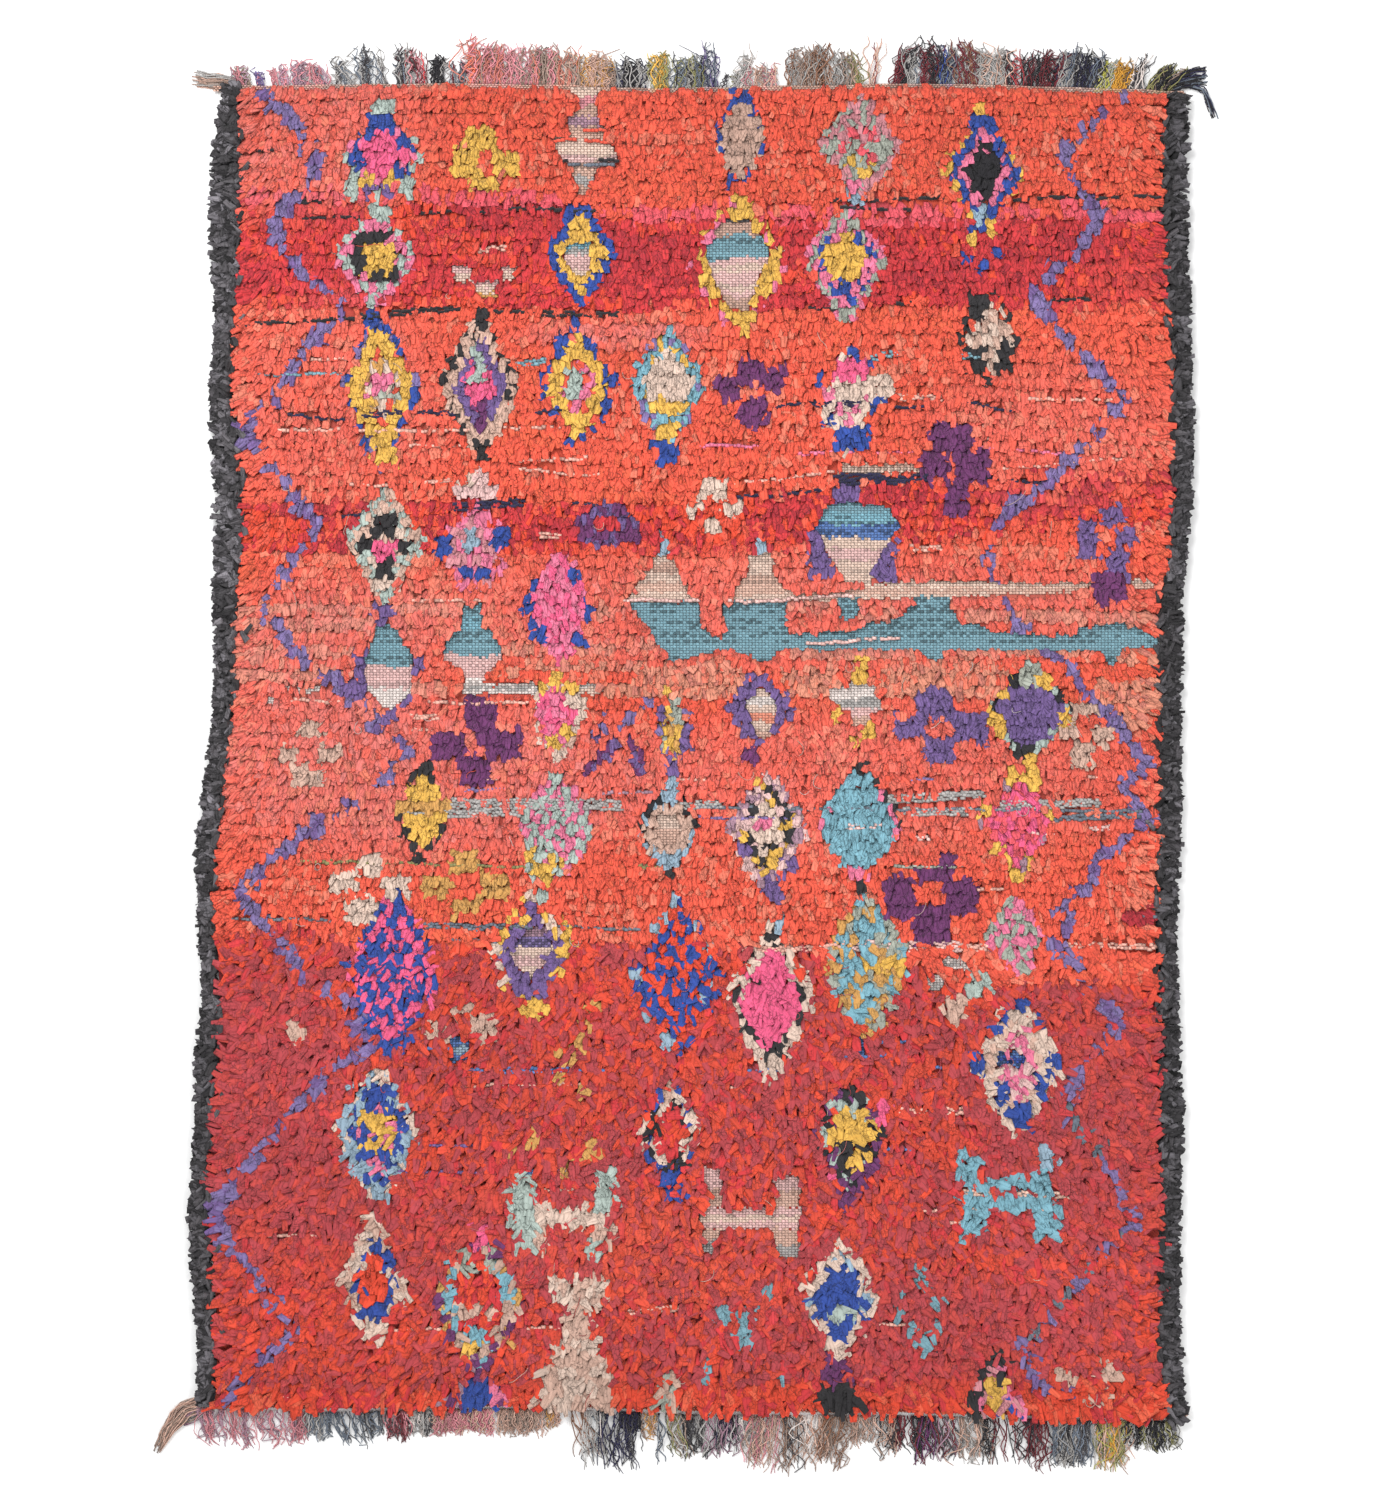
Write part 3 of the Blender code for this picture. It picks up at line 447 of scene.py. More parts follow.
# Distance from each place to a line of corners: the least distance to any of its stretches
def distanceToLine(column, row, corners):
    least = np.full(column.shape, np.inf)
    for (c0, r0), (c1, r1) in zip(corners[:-1], corners[1:]):
        length2 = (c1 - c0) ** 2 + (r1 - r0) ** 2
        t = np.clip(((column - c0) * (c1 - c0) + (row - r0) * (r1 - r0)) / length2, 0, 1)
        least = np.minimum(least, np.hypot(column - c0 - t * (c1 - c0), row - r0 - t * (r1 - r0)))
    return least


# Whether places lie in a shape given by stations of row, left and right, and how far down it they are
def inStations(column, row, stations):
    rows, lefts, rights = zip(*stations)
    left, right = np.interp(row, rows, lefts), np.interp(row, rows, rights)
    inside = (row >= rows[0]) & (row <= rows[-1]) & (column >= left) & (column <= right)
    return inside, (row - rows[0]) / max(rows[-1] - rows[0], 1)


def flatMask(column, row):
    mask = np.zeros(column.shape, bool)
    for _, stations in flatPlaces:
        mask |= inStations(column, row, stations)[0]
    return mask


# ground dyes between rows of the chart, neighbours in a list lie beside each other in the pile; then
# how long and how tall a cluster of one dye is, and how much single locks stray from it
groundZones = [
    (0, 186, "coralPale coral coral coral orange", 60, 26, 0.30),
    (186, 202, "pinkCoral pinkCoral coral", 50, 20, 0.25),
    (202, 306, "crimsonDeep crimson crimson crimson vermilion coral", 60, 30, 0.25),
    (306, 502, "coralPale coral coral coral orange", 60, 26, 0.30),
    (502, 552, "crimsonDeep crimson crimson vermilion coral vermilion", 60, 26, 0.40),
    (552, 700, "coralPale coral coral orange", 60, 26, 0.30),
    (700, 948, "coralPale coral coral coral orange", 60, 26, 0.30),
    (948, 1385, "dustyRed dustyRed crimson dustyRed ember vermilion ember", 44, 20, 0.62),
    (1385, 1500, "crimson vermilion vermilion orange vermilion", 50, 20, 0.50),
]
# rows of peach knots between coral ones: first row, last row, first and last column
peachStripes = [
    (604, 614, 232, 470), (604, 614, 590, 640), (597, 611, 790, 835), (610, 619, 860, 905),
    (610, 621, 965, 1157), (622, 634, 232, 366), (640, 651, 503, 655), (645, 656, 790, 918),
    (646, 656, 950, 1100), (648, 660, 1124, 1157), (650, 661, 232, 340), (662, 672, 505, 645),
    (667, 680, 232, 340), (664, 697, 640, 742), (666, 695, 778, 850), (666, 697, 880, 1004),
    (683, 694, 415, 455), (683, 694, 605, 655), (680, 712, 1100, 1157), (716, 728, 1120, 1150),
]
# broad soft tints of the ground: column, row, half width, half height, dye, share
tints = [
    (300, 130, 130, 90, "rose", 0.35), (640, 140, 120, 70, "coral", 0.20),
    (330, 400, 120, 110, "rose", 0.20), (760, 610, 420, 60, "rose", 0.30),
    (330, 660, 120, 90, "rose", 0.35), (420, 780, 260, 80, "rose", 0.45),
    (900, 780, 260, 80, "rose", 0.25), (1050, 430, 130, 80, "rose", 0.20),
    (620, 335, 100, 16, "rose", 0.45), (260, 1100, 90, 120, "dustyRed", 0.45),
    (1080, 1130, 110, 130, "dustyRed", 0.40), (420, 1240, 200, 60, "dustyRed", 0.30),
    (930, 1330, 180, 60, "dustyRed", 0.45), (620, 1010, 160, 40, "vermilion", 0.20),
    (320, 1320, 120, 70, "vermilion", 0.35), (660, 1250, 120, 60, "orange", 0.20),
    (620, 260, 300, 40, "crimson", 0.20), (1120, 300, 60, 40, "coral", 0.30),
    (300, 240, 70, 40, "crimson", 0.3),
]
# slants of the zones' borders: how many rows they are moved, the columns over which the slant grows,
# and the rows over which it sets in and ends
slants = [
    (-20.0, (450, 680), (-2, -1), (225, 260)), (28.0, (690, 1100), (420, 450), (560, 580)),
    (18.0, (380, 300), (900, 925), (980, 1020)), (-14.0, (800, 830), (915, 940), (1020, 1060)),
    (-22.0, (905, 960), (915, 940), (1020, 1060)),
]
# how far the borders wander, the height of a row of knots, and how the shares of dyes are mixed
groundPattern = {
    "borderWander": 5.0, "borderCell": 70.0, "knotWander": 2.0, "knotRow": 13.0, "clusterPart": 0.55,
    "clusterLoss": 0.5, "strayPart": 0.7, "peachDyes": "peachBrown peach peach coralPale",
    "peachStray": 0.3, "tintReach": 1.4, "tintStray": 0.4, "tintMost": 0.9,
}


# Ground dye of each place: zones and clusters first, then peach rows, then the broad tints, each of
# which fades from its middle by the square of the distance
def groundDyes(column, row, rng):
    pattern = groundPattern
    colour = np.zeros(column.shape + (3,))
    wander = pattern["borderWander"] * softNoise(column, row, pattern["borderCell"], "zoneBorder")
    wander = wander + rng.normal(0, pattern["knotWander"], column.shape)
    stray = rng.normal(0, 1.0, column.shape)
    line = np.floor(row / pattern["knotRow"]) * pattern["knotRow"]
    slanted = row
    for shift, columns, setIn, ending in slants:
        slanted = slanted + shift * fade(column, *columns) * fade(row, *setIn) * (1 - fade(row, *ending))
    for first, last, names, long, tall, loose in groundZones:
        here = (slanted + wander >= first) & (slanted + wander < last)
        cluster = softNoise(column[here] / long, line[here] / tall, 1.0, "cluster")
        share = 0.5 + (pattern["clusterPart"] - pattern["clusterLoss"] * loose) * cluster
        share = share + loose * pattern["strayPart"] * stray[here]
        colour[here] = pickDye(names, np.clip(share, 0, justUnderOne))
    for first, last, left, right in peachStripes:
        here = (row + wander * 0.5 >= first) & (row + wander * 0.5 < last)
        here &= (column > left + 2 * wander) & (column < right + 2 * wander)
        share = np.clip(0.5 + pattern["peachStray"] * stray[here], 0, justUnderOne)
        colour[here] = pickDye(pattern["peachDyes"], share)
    for c, r, halfWidth, halfHeight, name, share in tints:
        far = ((column - c) / halfWidth) ** 2 + ((row - r) / halfHeight) ** 2
        part = share * np.clip(pattern["tintReach"] - far, 0, 1) * (1 + pattern["tintStray"] * stray)
        colour += np.clip(part[..., None], 0, pattern["tintMost"]) * (dye(name) - colour)
    return colour


# Lays the motifs over the ground dyes; says too which places carry a motif. Share runs from 0 to 1
# and picks among the dyes of a motif, one for each knot.
def motifDyes(column, row, share, colour):
    drawn = np.zeros(column.shape, bool)

    def put(here, names):
        names = names.split()
        pick = np.clip((share * len(names)).astype(int), 0, len(names) - 1)
        for n, name in enumerate(names):
            if name != "ground":
                spot = here & (pick == n)
                colour[spot] = dye(name)
                drawn[spot] = True

    thickNoise = softNoise(column, row, zigzagWander["thickCell"], "zigzagThick")
    lineNoise = softNoise(column, row, zigzagWander["sidewaysCell"], "zigzagLine")
    for halfWidth, names, corners in zigzags:
        thick = halfWidth * (1.0 + zigzagWander["thick"] * thickNoise)
        strayed = column + zigzagWander["sideways"] * lineNoise
        put(distanceToLine(strayed, row, corners) < thick, names)
    for c, r, halfWidth, upwards, downwards, roundness, layers in lozenges:
        halfHeight = np.where(row < r, upwards, downwards)
        far = np.abs((column - c) / halfWidth) ** roundness + np.abs((row - r) / halfHeight) ** roundness
        for reach, names in layers:
            put(far < reach ** roundness, names)
    for names, stations in stacks:
        put(inStations(column, row, stations)[0], names)
    for table in (blocks, barFigures):
        for names, places in table.items():
            for left, right, first, last in places:
                put((column > left) & (column < right) & (row > first) & (row < last), names)
    return drawn


# meshes from whole arrays

# Faces of tubes: each ring joins the next one, and both ends are closed
def tubeFaces(count, stations, around):
    ring = np.arange(around)
    after = (ring + 1) % around
    station = np.arange(stations - 1)[:, None] * around
    side = np.stack([station + ring, station + after, station + after + around,
                     station + ring + around], -1)
    start = np.arange(count)[:, None] * stations * around
    sides = (start[:, :, None] + side.reshape(1, -1, 4)).reshape(-1, 4)
    rootCap = start + ring[::-1]
    tipCap = start + (stations - 1) * around + ring
    return sides.tolist() + rootCap.tolist() + tipCap.tolist()


# A mesh from points, faces, a colour for each point and strip coordinates for each point; the
# colour is the dye, with painted shade on some pieces
def makePiece(name, points, faces, pointColours, strip, material, replaced, smooth=True):
    mesh = bpy.data.meshes.new(name)
    mesh.from_pydata(points.reshape(-1, 3).tolist(), [], faces)
    layer = mesh.color_attributes.new("dye", "FLOAT_COLOR", "POINT")
    full = np.ones((len(mesh.vertices), 4), np.float32)
    full[:, :3] = np.clip(pointColours.reshape(-1, 3), 0.0, 1.0)
    layer.data.foreach_set("color", full.ravel())
    corner = np.zeros(len(mesh.loops), np.int32)
    mesh.loops.foreach_get("vertex_index", corner)
    uvLayer = mesh.uv_layers.new(name="strip")
    uvLayer.uv.foreach_set("vector", strip.reshape(-1, 2)[corner].astype(np.float32).ravel())
    mesh.polygons.foreach_set("use_smooth", np.full(len(mesh.polygons), smooth))
    mesh.materials.append(material)
    mesh.update()
    piece = bpy.data.objects.new(name, mesh)
    bpy.context.scene.collection.objects.link(piece)
    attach(piece, "root")
    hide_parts(*replaced)
    triangles = sum(len(face) - 2 for face in faces)
    print(f"{name}: {triangles} triangles")
    return piece


# the random part of a lock's form: change of its half width, how its bend grows, the share of its
# twist at the root, where its crease stands, change of the crease, and room for its strip coordinates
lockChange = {"half": 0.12, "bendPower": 1.5, "rootTwist": 0.4, "ridge": (0.3, 0.7), "crease": (0.6, 1.4),
              "stripRoom": 40}


# Locks of folded rag: from its root each one rises, bends over towards its heading and ends in a
# cut tip. At each station it has a left edge, a raised crease and a right edge; the section turns by
# a twist, its edges are moved a little at random, and the crease stands over the middle of the two.
def lockPoints(locks, form, rng):
    count = len(locks["x"])
    forward = np.array(form["forward"])[None, :] * locks["reach"][:, None]
    rise = np.array(form["rise"])[None, :] + rng.normal(0, form["riseChange"], (count, len(form["rise"])))
    rise[:, 0] = 0.0
    height = locks["low"][:, None] + (locks["high"] - locks["low"])[:, None] * rise
    half = np.array(form["spread"])[None, :] * locks["width"][:, None] / 2
    half = half * (1 + rng.normal(0, lockChange["half"], half.shape))
    turn = np.linspace(0, 1, forward.shape[1])[None, :]
    heading = locks["heading"][:, None] + locks["bend"][:, None] * turn ** lockChange["bendPower"]
    stepAhead = np.diff(forward, axis=1, prepend=0.0)
    middle = np.stack([
        locks["x"][:, None] + np.cumsum(stepAhead * np.cos(heading), axis=1),
        locks["y"][:, None] + np.cumsum(stepAhead * np.sin(heading), axis=1),
        height,
    ], -1)
    rootTwist = lockChange["rootTwist"]
    twist = locks["twist"][:, None] * (rootTwist + (1 - rootTwist) * turn)
    sinHeading, cosHeading = np.sin(heading), np.cos(heading)
    sinTwist, cosTwist = np.sin(twist), np.cos(twist)
    sideways = np.stack([sinHeading * cosTwist, -cosHeading * cosTwist, sinTwist], -1)
    upwards = np.stack([-sinHeading * sinTwist, cosHeading * sinTwist, cosTwist], -1)
    move = rng.normal(0, 1, (2,) + middle.shape) * locks["crumple"][None, :, None, None]
    left = middle - sideways * half[..., None] + move[0]
    right = middle + sideways * half[..., None] + move[1]
    share = rng.uniform(*lockChange["ridge"], half.shape)[..., None]
    crease = locks["crease"][:, None] * np.array(form["creaseShare"])[None, :]
    crease = crease * rng.uniform(*lockChange["crease"], half.shape)
    ridge = left * share + right * (1 - share) + upwards * crease[..., None]
    points = np.stack([left, ridge, right], 2)
    lowest = np.array([0.0, form["skin"], 0.0]) + form["floor"]
    points[..., 2] = np.maximum(points[..., 2], lowest)
    return points


# Across a lock its strip coordinate grows by one; along it by its length. Each lock starts elsewhere.
def lockStrip(count, form, rng):
    room = lockChange["stripRoom"]
    strip = np.zeros((count, len(form["forward"]), 3, 2))
    strip[..., 0] = np.array([0.0, 0.5, 1.0]) + rng.uniform(0, room, (count, 1, 1)).round()
    strip[..., 1] = np.array(form["forward"])[None, :, None] + rng.uniform(0, room, (count, 1, 1))
    return strip


# Lays locks as one piece. Their colour carries painted shade towards the root and a slight painted
# highlight at the cut tip.
def layLocks(name, locks, form, material, replaced, rng):
    points = lockPoints(locks, form, rng)
    # painted shade towards each lock's root and a slight painted highlight at its cut tip
    shade = np.array(form["shade"])[None, :, None, None]
    pointColours = locks["dye"][:, None, None, :] * shade * np.ones((1, 1, 3, 1))
    faces = tubeFaces(len(locks["x"]), len(form["forward"]), 3)
    strip = lockStrip(len(locks["x"]), form, rng)
    return makePiece(name, points, faces, pointColours, strip, material, replaced, form["smooth"])


# materials

# sockets that each cloth group has: what it is given, and what it gives back
clothInputs = {"Dye": "NodeSocketColor", "Place": "NodeSocketVector", "Strip": "NodeSocketVector"}
clothOutputs = {"Colour": "NodeSocketColor", "Roughness": "NodeSocketFloat", "Relief": "NodeSocketFloat"}


# A group with the cloth sockets and some values of its own
def newGroup(name, values):
    group = bpy.data.node_groups.new(name, "ShaderNodeTree")
    for socket, kind in clothInputs.items():
        group.interface.new_socket(name=socket, in_out="INPUT", socket_type=kind)
    for socket, value in values.items():
        made = group.interface.new_socket(name=socket, in_out="INPUT", socket_type="NodeSocketFloat")
        made.default_value = value
    for socket, kind in clothOutputs.items():
        group.interface.new_socket(name=socket, in_out="OUTPUT", socket_type=kind)
    start, end = group.nodes.new("NodeGroupInput"), group.nodes.new("NodeGroupOutput")
    return group, start.outputs, end.inputs


# A node with its settings, or first values for its sockets, and its links
def addNode(tree, kind, settings=None, links=None):
    node = tree.nodes.new(kind)
    for key, value in (settings or {}).items():
        if isinstance(key, str) and hasattr(node, key):
            setattr(node, key, value)
        else:
            node.inputs[key].default_value = value
    for socket, source in (links or {}).items():
        tree.links.new(source, node.inputs[socket])
    return node


# A node of the math kind (or another kind) whose values are sockets or plain numbers
def addMath(tree, operation, *values, kind="ShaderNodeMath"):
    node = addNode(tree, kind, {"operation": operation})
    for n, value in enumerate(values):
        if isinstance(value, bpy.types.NodeSocket):
            tree.links.new(value, node.inputs[n])
        else:
            node.inputs[n].default_value = value
    return node.outputs[0]


def addVector(tree, operation, *values):
    return addMath(tree, operation, *values, kind="ShaderNodeVectorMath")


# Scales a colour or a place by one value, a socket or a plain number
def addScale(tree, vector, factor):
    node = addNode(tree, "ShaderNodeVectorMath", {"operation": "SCALE"}, {0: vector})
    if isinstance(factor, bpy.types.NodeSocket):
        tree.links.new(factor, node.inputs["Scale"])
    else:
        node.inputs["Scale"].default_value = factor
    return node.outputs[0]


# Carries a value over from one range to another
def addRange(tree, value, source, target=(0.0, 1.0), kind="LINEAR"):
    settings = dict(zip(("From Min", "From Max", "To Min", "To Max"), source + target))
    settings["interpolation_type"] = kind
    return addNode(tree, "ShaderNodeMapRange", settings, {"Value": value}).outputs[0]


ragLook = {
    "foldStretch": (3.2, 0.9, 1.0), "mottleScale": 70.0, "pushScale": 120.0, "push": 0.012,
    "cellStretch": (1.0, 0.7, 0.5), "cellScale": 165.0, "creviceWidth": 0.10, "shallow": (0.42, 0.60),
    "creviceRelief": 0.5, "wobble": 0.5, "edgeLine": (0.30, 0.50), "foldLine": 0.11, "foldShade": 0.75,
    "mottle": (0.3, 0.7), "roughness": (0.82, 0.98),
}


# Folded rag: folds run along each strip, crevices part the crumples, and the dye is uneven. The
# crevices are the borders of stretched cells, pushed about by a noise and fading in and out; they
# hold painted shade as well as relief. Each strip has painted shade at its two edges and along a
# fold down its middle, both pushed by the fold noise.
def makeRagFolds():
    look = ragLook
    group, given, wanted = newGroup("ragFolds", {"Unevenness": 0.25, "Folds": 0.6, "Depth": 0.4,
                                                 "OutlineShade": 0.4})
    stretched = addVector(group, "MULTIPLY", given["Strip"], look["foldStretch"])
    folds = addNode(group, "ShaderNodeTexNoise", {"noise_dimensions": "2D", "Scale": 1.0, "Detail": 2.0},
                    {"Vector": stretched}).outputs[0]
    mottle = addNode(group, "ShaderNodeTexNoise",
                     {"Scale": look["mottleScale"], "Detail": 3.0, "Roughness": 0.6},
                     {"Vector": given["Place"]}).outputs[0]
    # pushed places: the noise colour less a half, times a few millimetres
    push = addNode(group, "ShaderNodeTexNoise", {"Scale": look["pushScale"], "Detail": 1.0},
                   {"Vector": given["Place"]}).outputs[1]
    push = addVector(group, "SUBTRACT", push, (0.5, 0.5, 0.5))
    pushed = addVector(group, "ADD", addScale(group, push, look["push"]), given["Place"])
    pushed = addVector(group, "MULTIPLY", pushed, look["cellStretch"])
    cells = addNode(group, "ShaderNodeTexVoronoi",
                    {"feature": "DISTANCE_TO_EDGE", "Scale": look["cellScale"]}, {"Vector": pushed})
    crevice = addRange(group, cells.outputs["Distance"], (0.0, look["creviceWidth"]), kind="SMOOTHSTEP")
    shallow = addRange(group, mottle, look["shallow"])
    crevice = addMath(group, "MAXIMUM", crevice, shallow)
    foldPart = addMath(group, "MULTIPLY", folds, given["Folds"])
    relief = addMath(group, "MULTIPLY_ADD", crevice, look["creviceRelief"], foldPart)
    # dye times one plus the mottle's swing, less by painted shade in the crevices
    swing = addMath(group, "SUBTRACT", mottle, 0.5)
    value = addMath(group, "MULTIPLY_ADD", swing, given["Unevenness"], 1.0)
    inside = addMath(group, "SUBTRACT", 1.0, crevice)
    value = addMath(group, "SUBTRACT", value, addMath(group, "MULTIPLY", inside, given["Depth"]))
    # across the strip: 0 on its middle line and 0.5 at its edges, pushed about by the fold noise
    parts = addNode(group, "ShaderNodeSeparateXYZ", {}, {0: given["Strip"]})
    across = addMath(group, "SUBTRACT", addMath(group, "FRACT", parts.outputs["X"]), 0.5)
    wobble = addMath(group, "MULTIPLY_ADD", folds, look["wobble"], -look["wobble"] / 2)
    across = addMath(group, "ABSOLUTE", addMath(group, "ADD", across, wobble))
    atEdge = addRange(group, across, look["edgeLine"], kind="SMOOTHSTEP")
    atFold = addRange(group, across, (0.0, look["foldLine"]), (look["foldShade"], 0.0), "SMOOTHSTEP")
    # painted shade along the strip's two edges and down its middle fold
    outline = addMath(group, "MULTIPLY", addMath(group, "MAXIMUM", atEdge, atFold), given["OutlineShade"])
    value = addMath(group, "SUBTRACT", value, outline)
    bright = addScale(group, given["Dye"], value)
    rough = addRange(group, mottle, look["mottle"], look["roughness"])
    for name, source in (("Colour", bright), ("Roughness", rough), ("Relief", relief)):
        group.links.new(source, wanted[name])
    return group


yarnLook = {"fibreScale": 600.0, "plyRelief": 0.3, "fibre": (0.3, 0.7), "light": (0.85, 1.12),
            "roughness": (0.8, 0.95)}


# Twisted yarn: slanting ply lines along each strip and loose fibres in the dye
def makeYarnTwist():
    look = yarnLook
    group, given, wanted = newGroup("yarnTwist", {"Turns": 8.0})
    parts = addNode(group, "ShaderNodeSeparateXYZ", {}, {0: given["Strip"]})
    turns = addMath(group, "MULTIPLY", parts.outputs["Y"], given["Turns"])
    slant = addMath(group, "ADD", turns, parts.outputs["X"])
    ply = addMath(group, "SINE", addMath(group, "MULTIPLY", slant, 2 * math.pi))
    fibre = addNode(group, "ShaderNodeTexNoise", {"Scale": look["fibreScale"], "Detail": 2.0},
                    {"Vector": given["Place"]}).outputs[0]
    relief = addMath(group, "MULTIPLY_ADD", ply, look["plyRelief"], fibre)
    value = addRange(group, fibre, look["fibre"], look["light"])
    bright = addScale(group, given["Dye"], value)
    rough = addRange(group, fibre, look["fibre"], look["roughness"])
    for name, source in (("Colour", bright), ("Roughness", rough), ("Relief", relief)):
        group.links.new(source, wanted[name])
    return group


ragFolds = makeRagFolds()
yarnTwist = makeYarnTwist()
clothLook = {"sheen": 0.10, "sheenRoughness": 0.5, "specular": 0.25, "bump": 1.0}


# A cloth material: the group colours the dye attribute, which holds painted shade on some pieces, and
# gives the relief; the shader stays here
def clothMaterial(name, group, values, bumpHeight):
    material = bpy.data.materials.new(name)
    material.use_nodes = True
    tree = material.node_tree
    shader = tree.nodes["Principled BSDF"]
    dyeNode = addNode(tree, "ShaderNodeAttribute", {"attribute_name": "dye"})
    place = addNode(tree, "ShaderNodeTexCoord")
    strip = addNode(tree, "ShaderNodeUVMap", {"uv_map": "strip"})
    effect = tree.nodes.new("ShaderNodeGroup")
    effect.node_tree = group
    for socket, value in values.items():
        effect.inputs[socket].default_value = value
    tree.links.new(dyeNode.outputs["Color"], effect.inputs["Dye"])
    tree.links.new(place.outputs["Object"], effect.inputs["Place"])
    tree.links.new(strip.outputs["UV"], effect.inputs["Strip"])
    tree.links.new(effect.outputs["Colour"], shader.inputs["Base Color"])
    tree.links.new(effect.outputs["Roughness"], shader.inputs["Roughness"])
    bump = addNode(tree, "ShaderNodeBump", {"Strength": clothLook["bump"], "Distance": bumpHeight},
                   {"Height": effect.outputs["Relief"]})
    tree.links.new(bump.outputs["Normal"], shader.inputs["Normal"])
    shader.inputs["Sheen Weight"].default_value = clothLook["sheen"]
    shader.inputs["Sheen Roughness"].default_value = clothLook["sheenRoughness"]
    shader.inputs["Specular IOR Level"].default_value = clothLook["specular"]
    return material


pileCloth = clothMaterial("pileRag", ragFolds, {"Unevenness": 0.40, "Folds": 0.8, "Depth": 0.35,
                                                "OutlineShade": 0.50}, 0.0018)
longCloth = clothMaterial("pileRagLong", ragFolds, {"Unevenness": 0.40, "Folds": 0.8, "Depth": 0.30,
                                                    "OutlineShade": 0.30}, 0.0018)
edgeCloth = clothMaterial("edgeRag", ragFolds, {"Unevenness": 0.35, "Folds": 1.0, "Depth": 0.40,
                                                "OutlineShade": 0.50}, 0.0018)
warpYarn = clothMaterial("warpYarn", yarnTwist, {"Turns": 14.0}, 0.0004)
weftYarn = clothMaterial("weftYarn", yarnTwist, {"Turns": 1.0}, 0.0005)
print("materials made")

# flat-woven places: the weave's rows and columns, its floats, and picks dashed or dotted with dark warp
weave = {
    "rows": (88, 1412), "columns": (230, 1170), "warpPitch": 3.3, "pickPitch": 2.7, "height": 0.0012,
    "level": 0.0092, "sink": 0.0006, "halfAcross": 0.64, "halfAlong": 0.56, "seed": 51, "rowJitter": 1.2,
    "bandWander": 0.04, "bandCell": 20.0, "underShade": 0.93, "pickDraws": 700, "pickLight": 0.05,
    "tealRatio": 1.2, "patchStride": 97.0, "patchCell": 14.0, "dashes": 0.55, "dashPatch": 0.0,
    "dots": 0.72, "dotPatch": -0.2, "dashShade": 0.42, "dotShade": 0.62, "light": 1.05, "lightChange": 0.07,
}
# the weft that shows between the rows: beads on each run, broken where the dye is dark, mixed with
# coral where it is pale; and how far the pile is bare above and below a run
weft = {
    "seed": 52, "level": 0.0140, "levelChange": 0.0006, "pickStep": 2.9, "rowChange": 0.6,
    "beadPitch": 3.9, "beadHeight": 0.0026, "beadShare": 0.92, "beadHalfLength": (2.0, 3.1),
    "beadHalfWidth": (1.4, 2.1), "lightChange": 0.16, "dashCell": 11.0, "dashStride": 9.0,
    "darkNames": ("black", "charcoal"), "darkFloor": -0.25, "paleNames": ("cream", "white"),
    "paleMix": 0.30, "wander": 1.2, "wanderCell": 25.0, "bareReach": (2.5, 1.0), "bareEachPick": 1.4,
    "bareFloor": -0.30, "bareCell": 9.0, "bareStride": 7.0,
}
